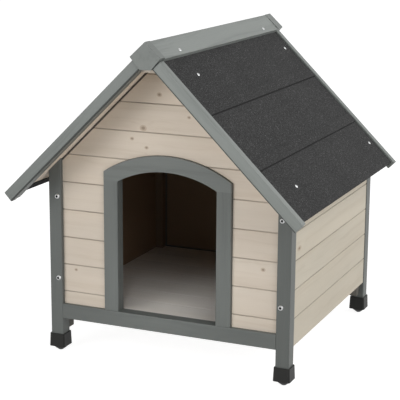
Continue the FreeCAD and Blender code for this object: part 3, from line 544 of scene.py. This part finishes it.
@dataclass(frozen=True)
class PlasticFinish:
    """Black moulded plastic with a fine spark-eroded texture.

    Attributes:
        name: name of the material.
        colour: screen colour of the plastic.
        scuff: screen colour of its scuffs.
    """

    name: str = "foot_cap_plastic"
    colour: str = "181816"
    scuff: str = "242422"

    def build(self) -> bpy.types.Material:
        """Make the material.

        Returns:
            A dark plastic with slight scuffs.
        """
        graph = Graph(self.name)
        place = graph.add("TexCoord").outputs["Object"]
        fine = graph.noise(place, 1400.0, 2.0).outputs[0]
        scuff = graph.noise(place, 60.0, 5.0, 0.7).outputs[0]
        colour = graph.mix(graph.ramp(scuff, (0.55, 0.0), (0.72, 0.5)), srgb(self.colour), srgb(self.scuff))
        bump = graph.add("Bump", {"Strength": 0.12, "Distance": 0.0003, "Height": fine}).outputs[0]
        rough = graph.math("MULTIPLY_ADD", scuff, 0.18, 0.42)
        return graph.finish(graph.add("BsdfPrincipled", {
            "Base Color": colour, "Roughness": rough, "Specular IOR Level": 0.25, "Normal": bump,
            "IOR": 1.5}))


@dataclass(frozen=True)
class SteelFinish:
    """Zinc-plated steel of the screws.

    Attributes:
        name: name of the material.
        light: screen colour of the brighter zinc.
        dark: screen colour of the duller zinc.
        socket: screen colour painted in the sockets of the post screws as their shade.
        post_screw_across: distance of the post screws from the middle.
        post_screw_levels: Z of the two rows of post screws.
        socket_radius: radius that the painted shade fills.
    """

    name: str = "zinc_plated_steel"
    light: str = "dcdddd"
    dark: str = "b9babb"
    socket: str = "1c1c1c"
    post_screw_across: float = 0.278
    post_screw_levels: Pair = (0.183, 0.380)
    socket_radius: float = 0.0032

    def build(self) -> bpy.types.Material:
        """Make the material.

        Returns:
            A pale metal with fine turning marks, and painted shade in the post screws' sockets.
        """
        graph = Graph(self.name)
        place = graph.add("TexCoord").outputs["Object"]
        mottle = graph.noise(place, 900.0, 3.0, 0.6).outputs[0]
        colour = graph.mix(mottle, srgb(self.dark), srgb(self.light))
        coordinates = graph.parts(place)
        across = graph.math("SUBTRACT", graph.math("ABSOLUTE", coordinates[0]), self.post_screw_across)
        low, high = (graph.math("ABSOLUTE", graph.math("SUBTRACT", coordinates[2], level))
                     for level in self.post_screw_levels)
        radius = graph.math("SQRT", graph.math("ADD", graph.math("POWER", across, 2.0),
                                               graph.math("POWER", graph.math("MINIMUM", low, high), 2.0)))
        # Painted shade in the sockets of the post screws.
        inside = graph.math("LESS_THAN", radius, self.socket_radius)
        colour = graph.mix(inside, colour, srgb(self.socket))
        rough = graph.math("MULTIPLY_ADD", mottle, 0.2, 0.3)
        bump = graph.add("Bump", {"Strength": 0.08, "Distance": 0.0002, "Height": mottle}).outputs[0]
        return graph.finish(graph.add("BsdfPrincipled", {
            "Base Color": colour, "Metallic": 1.0, "Roughness": rough, "Normal": bump}))


# ------------------------------------------------------------------ shared mesh work

def deselect_all() -> None:
    """Leave edit mode and select nothing."""
    if bpy.context.mode != "OBJECT":
        bpy.ops.object.mode_set(mode="OBJECT")
    bpy.ops.object.select_all(action="DESELECT")


def select_only(piece: bpy.types.Object) -> None:
    """Select one object and make it active."""
    deselect_all()
    piece.select_set(True)
    bpy.context.view_layer.objects.active = piece


def settle(piece: bpy.types.Object, spot: Matrix, name: str) -> bpy.types.Object:
    """Put a finished piece's place into its mesh and leave its object at the origin.

    Args:
        piece: object whose mesh is modelled about the origin.
        spot: where the piece goes.
        name: name of the piece.

    Returns:
        The same object.
    """
    piece.name = name
    piece.data.name = name
    piece.data.transform(spot @ piece.matrix_world)
    piece.matrix_world = Matrix.Identity(4)
    return piece


def slope_place(side: int, reach: float, depth: float, height: float) -> Matrix:
    """Place square on a roof slope, with X down the slope.

    Args:
        side: -1 for the left slope, 1 for the right one.
        reach: distance down the slope from the ridge.
        depth: Y of the place.
        height: height over the underside of the roof boards.

    Returns:
        The matrix of the place.
    """
    across = side * (reach * math.cos(ROOF_PITCH) + height * math.sin(ROOF_PITCH))
    up = RIDGE_UNDERSIDE + height * math.cos(ROOF_PITCH) - reach * math.sin(ROOF_PITCH)
    spot = Matrix.Translation((across, depth, up))
    if side < 0:
        spot = spot @ Matrix.Rotation(math.pi, 4, "Z")
    return spot @ Matrix.Rotation(ROOF_PITCH, 4, "Y")


def dress(node: bpy.types.Object, material: bpy.types.Material) -> None:
    """Give every material slot of a solid the same finish.

    Args:
        node: the solid.
        material: the finish.
    """
    if not node.material_slots:
        node.data.materials.append(material)
    for slot in node.material_slots:
        slot.material = material


def dress_all(nodes: Nodes, prefix: str, material: bpy.types.Material) -> None:
    """Give every solid whose name starts with the prefix the same finish.

    Args:
        nodes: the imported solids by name.
        prefix: start of the names.
        material: the finish.
    """
    for name, node in nodes.items():
        if name.startswith(prefix):
            dress(node, material)
            LOG.info("%s on %s", material.name, name)


# ------------------------------------------------------------------ sub-assemblies

@dataclass
class PaintedFrame:
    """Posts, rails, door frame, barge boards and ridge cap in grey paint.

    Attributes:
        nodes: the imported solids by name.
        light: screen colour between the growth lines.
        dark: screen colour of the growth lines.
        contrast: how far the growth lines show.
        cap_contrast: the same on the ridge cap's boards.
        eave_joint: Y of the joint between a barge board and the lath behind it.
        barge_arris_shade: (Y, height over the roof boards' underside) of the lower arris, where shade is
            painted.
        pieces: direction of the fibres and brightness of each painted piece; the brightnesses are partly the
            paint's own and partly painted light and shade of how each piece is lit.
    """

    nodes: Nodes
    light: str = "777b78"
    dark: str = "5c605d"
    contrast: float = 0.34
    cap_contrast: float = 0.55
    eave_joint: float = -0.3525
    barge_arris_shade: Pair = (-0.3682, -0.0084)
    # Brightnesses are partly the paint's own and partly painted light and shade of how each piece is lit.
    pieces: dict[str, tuple[Grain, float]] = field(default_factory=lambda: {
        "post_front_left": (Grain.UPRIGHT, 0.72),
        "post_front_right": (Grain.UPRIGHT, 0.64),
        "post_back_left": (Grain.UPRIGHT, 0.80),
        "post_back_right": (Grain.UPRIGHT, 0.70),
        "front_rail": (Grain.ACROSS, 0.74),
        "back_rail": (Grain.ACROSS, 0.83),
        "door_jamb_left": (Grain.UPRIGHT, 0.82),
        "door_jamb_right": (Grain.UPRIGHT, 0.80),
        "door_header": (Grain.ACROSS, 0.92),
        "front_barge_left": (Grain.LEFT_SLOPE, 1.12),
        "front_barge_right": (Grain.RIGHT_SLOPE, 1.32),
        "back_barge_left": (Grain.LEFT_SLOPE, 1.15),
        "back_barge_right": (Grain.RIGHT_SLOPE, 1.15),
        "ridge_cap_left": (Grain.DEPTH, 1.4),
        "ridge_cap_right": (Grain.DEPTH, 1.45),
        "ridge_block_front": (Grain.DEPTH, 1.08),
        "ridge_block_back": (Grain.DEPTH, 1.15),
        "front_lath_left": (Grain.LEFT_SLOPE, 0.85),
        "front_lath_right": (Grain.RIGHT_SLOPE, 0.80),
    })

    def build(self) -> dict[str, bpy.types.Material]:
        """Dress each painted piece with its own grain direction and pattern.

        Returns:
            The finish of every piece, by the piece's name.
        """
        finishes = {}
        for number, (name, (grain, tone)) in enumerate(self.pieces.items()):
            joint = self.eave_joint if name.startswith(("front_barge", "front_lath")) else None
            # The front barges get painted shade on their lower arris.
            arris = self.barge_arris_shade if name.startswith("front_barge") else None
            contrast = self.cap_contrast if name.startswith("ridge_cap") else self.contrast
            finish = WoodFinish(f"grey_paint_{name}", grain, self.light, self.dark, contrast=contrast,
                                roughness=0.5, relief=0.14, seed=1.7 * number + 0.4, tone=tone, warmth=0.006,
                                joint=joint, arris=arris)
            finishes[name] = finish.build()
            dress(self.nodes[name], finishes[name])
            LOG.info("painted %s", name)
        return finishes


@dataclass
class StainedBoards:
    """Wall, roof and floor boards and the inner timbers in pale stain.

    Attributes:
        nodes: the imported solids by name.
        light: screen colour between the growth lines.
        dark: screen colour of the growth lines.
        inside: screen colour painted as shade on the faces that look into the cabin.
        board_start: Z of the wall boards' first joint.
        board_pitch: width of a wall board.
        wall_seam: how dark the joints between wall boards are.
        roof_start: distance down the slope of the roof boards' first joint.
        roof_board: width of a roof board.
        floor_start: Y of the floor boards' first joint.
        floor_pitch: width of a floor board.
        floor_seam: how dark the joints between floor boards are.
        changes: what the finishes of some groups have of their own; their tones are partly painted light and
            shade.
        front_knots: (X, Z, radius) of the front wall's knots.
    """

    nodes: Nodes
    light: str = "d6cabb"
    dark: str = "b5a28c"
    inside: str = "8f775e"
    board_start: float = 0.084
    board_pitch: float = 0.0661
    wall_seam: float = 0.58
    roof_start: float = 0.0
    roof_board: float = (0.3 / math.cos(ROOF_PITCH) + 0.0597) / 8
    floor_start: float = -0.2409
    floor_pitch: float = 0.5468 / 7
    floor_seam: float = 0.4
    # Group tones are partly the stain's own and partly painted light and shade.
    changes: dict[str, dict[str, object]] = field(default_factory=lambda: {
        "front_wall_stain": {"tone": 1.02},
        "side_wall_stain": {"tone": 0.94, "light": "d3cab9", "dark": "b0a28c", "knots": 0.13},
        "roof_board_stain": {"tone": 1.35},
        "floor_board_stain": {"tone": 1.0, "light": "d9d4cd", "dark": "c0b8ae", "inside": None},
    })
    front_knots: tuple[Triple, ...] = (
        (-0.020, 0.634, 0.0055), (-0.060, 0.556, 0.0075), (-0.088, 0.530, 0.0045), (-0.052, 0.512, 0.0045),
        (-0.145, 0.318, 0.0045), (0.052, 0.588, 0.0040), (0.232, 0.262, 0.0050), (-0.236, 0.205, 0.0040))

    def build(self) -> None:
        """Dress every stained piece."""
        upright = Courses(2, self.board_start, self.board_pitch, self.wall_seam)
        slope = Courses(3, self.roof_start, self.roof_board)
        floor = Courses(1, self.floor_start, self.floor_pitch, self.floor_seam)
        groups = {
            "front_wall_stain": (Grain.ACROSS, upright, ("front_boards_left", "front_boards_right",
                                                         "front_arch_board_left", "front_arch_board_right",
                                                         "front_lintel_board", "front_gable_board",
                                                         "front_peak_boards")),
            "back_wall_stain": (Grain.ACROSS, upright, ("back_boards", "back_gable_boards")),
            "side_wall_stain": (Grain.DEPTH, upright, ("side_boards_left", "side_boards_right")),
            "roof_board_stain": (Grain.DEPTH, slope, ("roof_boards_left", "roof_boards_right")),
            "floor_board_stain": (Grain.ACROSS, floor, ("floor_boards",)),
            "ridge_beam_stain": (Grain.DEPTH, None, ("ridge_beam", "floor_cleats", "floor_ledge_left",
                                                     "floor_ledge_right")),
            "rafter_right_stain": (Grain.RIGHT_SLOPE, None, ("front_rafter_right", "back_rafter_right")),
            "rafter_left_stain": (Grain.LEFT_SLOPE, None, ("front_rafter_left", "back_rafter_left")),
        }
        for number, (name, (grain, courses, members)) in enumerate(groups.items()):
            front = name == "front_wall_stain"
            # The front wall gets painted shade under the roof; inward faces get painted cabin shade.
            finish = WoodFinish(name, grain, self.light, self.dark, contrast=0.2, knots=0.05,
                                knot_spots=self.front_knots if front else (), roughness=0.68, relief=0.2,
                                board_spread=0.03, courses=courses, seed=2.3 * number + 0.9, painted_roof_gap_shade=front,
                                inside=self.inside)
            finish = replace(finish, **self.changes.get(name, {}))
            material = finish.build()
            for member in members:
                dress(self.nodes[member], material)
                LOG.info("stained %s", member)


@dataclass
class SideBattens:
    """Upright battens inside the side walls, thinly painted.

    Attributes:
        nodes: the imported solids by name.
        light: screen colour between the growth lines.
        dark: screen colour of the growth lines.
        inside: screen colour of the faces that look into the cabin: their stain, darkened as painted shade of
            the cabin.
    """

    nodes: Nodes
    light: str = "6f6c66"
    dark: str = "595650"
    inside: str = "806d58"

    def build(self) -> None:
        """Dress the four battens."""
        # Inward faces get the battens' stain, darkened as painted cabin shade.
        finish = WoodFinish("batten_paint", Grain.UPRIGHT, self.light, self.dark, contrast=0.4, seed=31.0,
                            inside=self.inside)
        dress_all(self.nodes, "side_batten_", finish.build())


@dataclass
class RoofFelt:
    """Felt sheets over both slopes."""

    nodes: Nodes

    def build(self) -> None:
        """Dress the six sheets."""
        dress_all(self.nodes, "felt_", FeltFinish().build())


@dataclass
class FootCaps:
    """Plastic caps under the posts."""

    nodes: Nodes

    def build(self) -> None:
        """Dress the four caps."""
        dress_all(self.nodes, "foot_cap_", PlasticFinish().build())


@dataclass(frozen=True)
class SlopeBar:
    """A bar that lies along a roof slope.

    Attributes:
        name: name of the piece, before its side.
        stands_for: name of the plain solid, before its side.
        upper: distance down the slope of the upper end.
        lower: distance down the slope of the lower end.
        front: Y of the front face.
        width: size along the ridge.
        top: upper face over the underside of the roof boards.
        bottom: lower face over the same plane.
        arris: rounding of the lower front edge.
        edge: rounding of the other edges.
        plumb: distance from the middle where the upper end is cut plumb, if it is.
    """

    name: str
    stands_for: str
    upper: float
    lower: float
    front: float
    width: float
    top: float
    bottom: float
    arris: float
    edge: float = 0.0013
    plumb: float | None = None

    def model(self, side: int) -> bpy.types.Object:
        """Saw the bar to length and round its edges.

        Args:
            side: -1 for the left slope, 1 for the right one.

        Returns:
            The bar, in place.
        """
        deselect_all()
        bpy.ops.mesh.primitive_cube_add(size=1.0)
        bar = bpy.context.object
        bar.scale = (self.lower - self.upper, self.width, self.top - self.bottom)
        bar.location = ((self.lower + self.upper) / 2, 0.0, (self.top + self.bottom) / 2)
        bpy.ops.object.transform_apply(location=True, rotation=False, scale=True)
        bpy.ops.object.mode_set(mode="EDIT")
        if self.plumb is not None:
            bpy.ops.mesh.select_all(action="SELECT")
            bpy.ops.mesh.bisect(plane_co=(self.plumb / math.cos(ROOF_PITCH), 0.0, 0.0),
                                plane_no=(math.cos(ROOF_PITCH), 0.0, math.sin(ROOF_PITCH)),
                                use_fill=True, clear_inner=True)
        self._pick(bar, lambda middle: (middle.y * side < -self.width * 0.49
                                        and middle.z < self.bottom + 1e-5))
        bpy.ops.mesh.bevel(offset=self.arris, segments=5, affect="EDGES")
        self._pick(bar, lambda middle: not (middle.y * side < -self.width * 0.2 and middle.z < self.bottom
                                            + self.arris * 1.2))
        bpy.ops.mesh.bevel(offset=self.edge, segments=3, affect="EDGES")
        select_only(bar)
        bpy.ops.object.shade_smooth_by_angle(angle=SMOOTH_ANGLE)
        label = "left" if side < 0 else "right"
        return settle(bar, slope_place(side, 0.0, self.front + self.width / 2, 0.0), f"{self.name}_{label}")

    def _pick(self, bar: bpy.types.Object, wanted: Callable[[Vector], bool]) -> None:
        """Select the sharp edges whose middles the test picks.

        Args:
            bar: the bar, in edit mode.
            wanted: test over the middle of an edge.
        """
        bpy.ops.mesh.select_mode(type="EDGE")
        bpy.ops.mesh.select_all(action="DESELECT")
        mesh = bmesh.from_edit_mesh(bar.data)
        for edge in mesh.edges:
            sharp = len(edge.link_faces) == 2 and edge.calc_face_angle() > math.radians(30)
            edge.select = sharp and wanted((edge.verts[0].co + edge.verts[1].co) / 2)
        bmesh.update_edit_mesh(bar.data)


@dataclass
class EaveTrim:
    """Front barge boards and the laths behind them, both run on to the same lower ends.

    Attributes:
        paint: finish of each plain solid, by its name.
        bars: the bars of one slope.
    """

    paint: dict[str, bpy.types.Material]
    bars: tuple[SlopeBar, ...] = (
        SlopeBar("barge_board", "front_barge", 0.0315, 0.4892, -0.3715, 0.019, 0.0143, -0.0120, 0.0034),
        SlopeBar("eave_lath", "front_lath", 0.0, 0.4890, -0.3525, 0.021, 0.0, -0.0096, 0.0010, plumb=0.0202),
    )

    def build(self) -> None:
        """Model the bars of both slopes in place of the plain ones."""
        for bar in self.bars:
            for side, label in ((-1, "left"), (1, "right")):
                piece = bar.model(side)
                plain = f"{bar.stands_for}_{label}"
                piece.data.materials.append(self.paint[plain])
                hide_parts(plain)
                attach(piece, "house")
                LOG.info("%s %s", bar.name, label)


@dataclass
class RoofScrews:
    """Cross-head screws that hold the felt, the roof boards and the ridge cap.

    Attributes:
        steel: finish of the screws.
        head_radius: radius of a head.
        head_height: rise of a head.
        felt_top: felt surface over the underside of the roof boards.
        cap_top: top of the ridge cap over the same plane.
        roof_rows: (distance down the slope, Y of the front and back screws) of the felt's screws.
        cap_rows: the same for the ridge cap.
    """

    steel: bpy.types.Material
    head_radius: float = 0.0042
    head_height: float = 0.0022
    felt_top: float = 0.010
    cap_top: float = 0.020
    roof_rows: tuple[tuple[float, Pair], ...] = ((0.084, (-0.2465, 0.3115)),
                                                                (0.410, (-0.2465, 0.3115)))
    cap_rows: tuple[tuple[float, Pair], ...] = ((0.0185, (-0.2565, 0.2565)),)

    def build(self) -> list[bpy.types.Object]:
        """Model one head and set a copy at every place.

        Returns:
            The screws.
        """
        pattern = self._model_head()
        screws = []
        sets = (("roof", self.roof_rows, self.felt_top), ("cap", self.cap_rows, self.cap_top))
        for label, rows, height in sets:
            for reach, depths in rows:
                for depth in depths:
                    for side in (-1, 1):
                        spot = slope_place(side, reach, depth, height)
                        screws.append(self._copy(pattern, spot, f"{label}_screw_{len(screws) + 1}"))
        bpy.data.objects.remove(pattern)
        LOG.info("%d roof and ridge screws", len(screws))
        return screws

    def _model_head(self) -> bpy.types.Object:
        """Shape a domed head with a cross recess about the origin.

        Returns:
            The head.
        """
        deselect_all()
        bpy.ops.mesh.primitive_cylinder_add(vertices=32, radius=self.head_radius, depth=self.head_height,
                                            location=(0, 0, self.head_height / 2))
        head = bpy.context.object
        bpy.ops.object.mode_set(mode="EDIT")
        mesh = bmesh.from_edit_mesh(head.data)
        for face in mesh.faces:
            face.select = face.normal.z > 0.9
        bmesh.update_edit_mesh(head.data)
        bpy.ops.mesh.bevel(offset=self.head_height * 0.72, segments=4, affect="EDGES")
        deselect_all()
        for turn in (0.0, math.pi / 2):
            bpy.ops.mesh.primitive_cube_add(size=1.0, location=(0, 0, self.head_height))
            slot = bpy.context.object
            slot.scale = (self.head_radius * 1.05, self.head_radius * 0.24, self.head_height * 1.1)
            slot.rotation_euler = (0, 0, turn + 0.4)
            cut = head.modifiers.new("cross", "BOOLEAN")
            cut.operation = "DIFFERENCE"
            cut.object = slot
            select_only(head)
            bpy.ops.object.modifier_apply(modifier=cut.name)
            bpy.data.objects.remove(slot)
        select_only(head)
        bpy.ops.object.shade_smooth_by_angle(angle=SMOOTH_ANGLE)
        head.data.materials.append(self.steel)
        return head

    def _copy(self, pattern: bpy.types.Object, spot: Matrix, name: str) -> bpy.types.Object:
        """Set a copy of the head, with a mesh of its own, on its place.

        Args:
            pattern: the modelled head.
            spot: where the copy goes.
            name: name of the copy.

        Returns:
            The copy.
        """
        screw = bpy.data.objects.new(name, pattern.data.copy())
        bpy.context.scene.collection.objects.link(screw)
        settle(screw, spot, name)
        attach(screw, "house")
        return screw


@dataclass
class Studio:
    """White floor and backdrop, soft light and the camera.

    Attributes:
        camera_place: where the camera stands.
        camera_target: point in the middle of the picture.
        camera_roll: turn of the picture, in degrees.
        lens: focal length in millimetres on a 36 mm sensor.
        lamp_target: point that the soft lamps face.
        lamp_size: side of a soft lamp.
        lamps: place and watts of each soft lamp.
        room_level: brightness of the room's even light.
        door_lamp: place of the narrow lamp for the doorway.
        door_target: point on the cabin's floor that it faces.
        door_power: watts of that lamp.
        door_cone: width of its beam, in degrees.
        door_softness: radius of that lamp.
        floor_size: side of the floor.
        floor_bounce: brightness of the floor for light that it throws back.
        floor_shadow: how far the object's shadow shows on the white floor.
        floor_glow: white that the floor has near the object and far from it.
        floor_blend: distances from the middle over which the first changes into the second.
    """

    camera_place: Triple = (1.1951, -2.8456, 1.0668)
    camera_target: Triple = (0.0297, -0.1462, 0.3752)
    camera_roll: float = 0.40
    lens: float = 117.15
    lamp_target: Triple = (0.05, 0.0, 0.35)
    lamp_size: float = 2.0
    lamps: dict[str, tuple[Triple, float]] = field(default_factory=lambda: {
        "left front": ((-1.4, -3.4, 1.3), 55.6),
        "right front": ((2.2, -2.8, 2.6), 22.7),
        "right": ((3.0, -1.6, 1.8), 24.7),
        "back": ((2.6, 2.0, 2.2), 57.3),
    })
    room_level: float = 0.2
    door_lamp: Triple = (0.45, -1.6, 1.25)
    door_target: Triple = (-0.03, -0.19, 0.11)
    door_power: float = 60.0
    door_cone: float = 9.0
    door_softness: float = 0.12
    floor_size: float = 60.0
    floor_bounce: float = 0.8
    floor_shadow: float = 0.4
    floor_glow: Pair = (0.90, 1.0)
    floor_blend: Pair = (0.8, 2.2)

    def build(self) -> None:
        """Set up everything round the object."""
        self._floor()
        self._world()
        for name, (place, power) in self.lamps.items():
            data = bpy.data.lights.new(name, "AREA")
            data.size = self.lamp_size
            self._hang(data, power, place, self.lamp_target)
        self._door_lamp()
        self._camera()
        LOG.info("studio ready")

    def _floor(self) -> None:
        """Lay the floor, white to the camera but with the object's shadow on it."""
        deselect_all()
        bpy.ops.mesh.primitive_plane_add(size=self.floor_size, location=(0, 0, 0))
        floor = bpy.context.object
        floor.name = "studio_floor"
        graph = Graph("studio_floor")
        away = graph.vector("LENGTH", graph.add("TexCoord").outputs["Object"]).outputs["Value"]
        steps = dict(enumerate((away, *self.floor_blend, *self.floor_glow)))
        level = graph.add("MapRange", steps).outputs[0]
        matte = graph.add("BsdfDiffuse", {"Color": (self.floor_bounce,) * 3 + (1.0,)})
        seen = graph.add("BsdfDiffuse", {"Color": (self.floor_shadow,) * 3 + (1.0,)})
        glow = graph.add("Emission", {"Color": WHITE, "Strength": level})
        lifted = graph.add("AddShader", {0: seen.outputs[0], 1: glow.outputs[0]})
        path = graph.add("LightPath").outputs
        direct = graph.math("MAXIMUM", graph.math("MAXIMUM", path["Is Camera Ray"], path["Is Glossy Ray"]),
                            path["Is Transmission Ray"])
        shader = graph.add("MixShader", {0: direct, 1: matte.outputs[0], 2: lifted.outputs[0]})
        dress(floor, graph.finish(shader))

    def _world(self) -> None:
        """Light the room evenly, with a white backdrop behind it."""
        world = bpy.data.worlds.new("studio")
        bpy.context.scene.world = world
        world.use_nodes = True
        tree = world.node_tree
        tree.nodes.clear()
        output = tree.nodes.new("ShaderNodeOutputWorld")
        path = tree.nodes.new("ShaderNodeLightPath")
        blend = tree.nodes.new("ShaderNodeMixShader")
        for number, level in enumerate((self.room_level, 1.0), start=1):
            background = tree.nodes.new("ShaderNodeBackground")
            background.inputs["Color"].default_value = WHITE
            background.inputs["Strength"].default_value = level
            tree.links.new(background.outputs[0], blend.inputs[number])
        direct = path.outputs["Is Camera Ray"]
        for kind in ("Is Glossy Ray", "Is Transmission Ray"):
            either = tree.nodes.new("ShaderNodeMath")
            either.operation = "MAXIMUM"
            tree.links.new(direct, either.inputs[0])
            tree.links.new(path.outputs[kind], either.inputs[1])
            direct = either.outputs[0]
        tree.links.new(direct, blend.inputs[0])
        tree.links.new(blend.outputs[0], output.inputs["Surface"])

    def _door_lamp(self) -> None:
        """Hang a narrow soft lamp that reaches the floor just inside the doorway."""
        data = bpy.data.lights.new("doorway", "SPOT")
        data.spot_size = math.radians(self.door_cone)
        data.spot_blend = 1.0
        data.shadow_soft_size = self.door_softness
        self._hang(data, self.door_power, self.door_lamp, self.door_target)

    def _hang(self, data: bpy.types.Light, power: float, place: Triple,
              target: Triple) -> None:
        """Hang a lamp and turn it to its target.

        Args:
            data: the lamp's settings.
            power: watts.
            place: where it hangs.
            target: point that it faces.
        """
        data.energy = power
        lamp = bpy.data.objects.new(data.name, data)
        bpy.context.scene.collection.objects.link(lamp)
        lamp.location = place
        lamp.rotation_euler = (Vector(target) - Vector(place)).to_track_quat("-Z", "Y").to_euler()

    def _camera(self) -> None:
        """Stand the camera where the picture was taken from."""
        data = bpy.data.cameras.new("camera")
        data.lens = self.lens
        data.sensor_width = 36.0
        data.clip_end = 100.0
        camera = bpy.data.objects.new("camera", data)
        bpy.context.scene.collection.objects.link(camera)
        place = Vector(self.camera_place)
        back = (place - Vector(self.camera_target)).normalized()
        right = Vector((0, 0, 1)).cross(back).normalized()
        roll = math.radians(self.camera_roll)
        right = right * math.cos(roll) + back.cross(right) * math.sin(roll)
        up = back.cross(right)
        camera.matrix_world = Matrix.Translation(place) @ Matrix((right, up, back)).transposed().to_4x4()
        bpy.context.scene.camera = camera


def main() -> None:
    """Build the looks in order."""
    logging.basicConfig(level=logging.INFO, format="%(name)s: %(message)s")
    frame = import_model()
    nodes = frame["nodes"]
    paint = PaintedFrame(nodes).build()
    EaveTrim(paint).build()
    StainedBoards(nodes).build()
    SideBattens(nodes).build()
    RoofFelt(nodes).build()
    FootCaps(nodes).build()
    steel = SteelFinish().build()
    dress(nodes["post_screws"], steel)
    RoofScrews(steel).build()
    Studio().build()
    bpy.context.scene.view_settings.view_transform = "Standard"


if __name__ == "__main__":
    main()
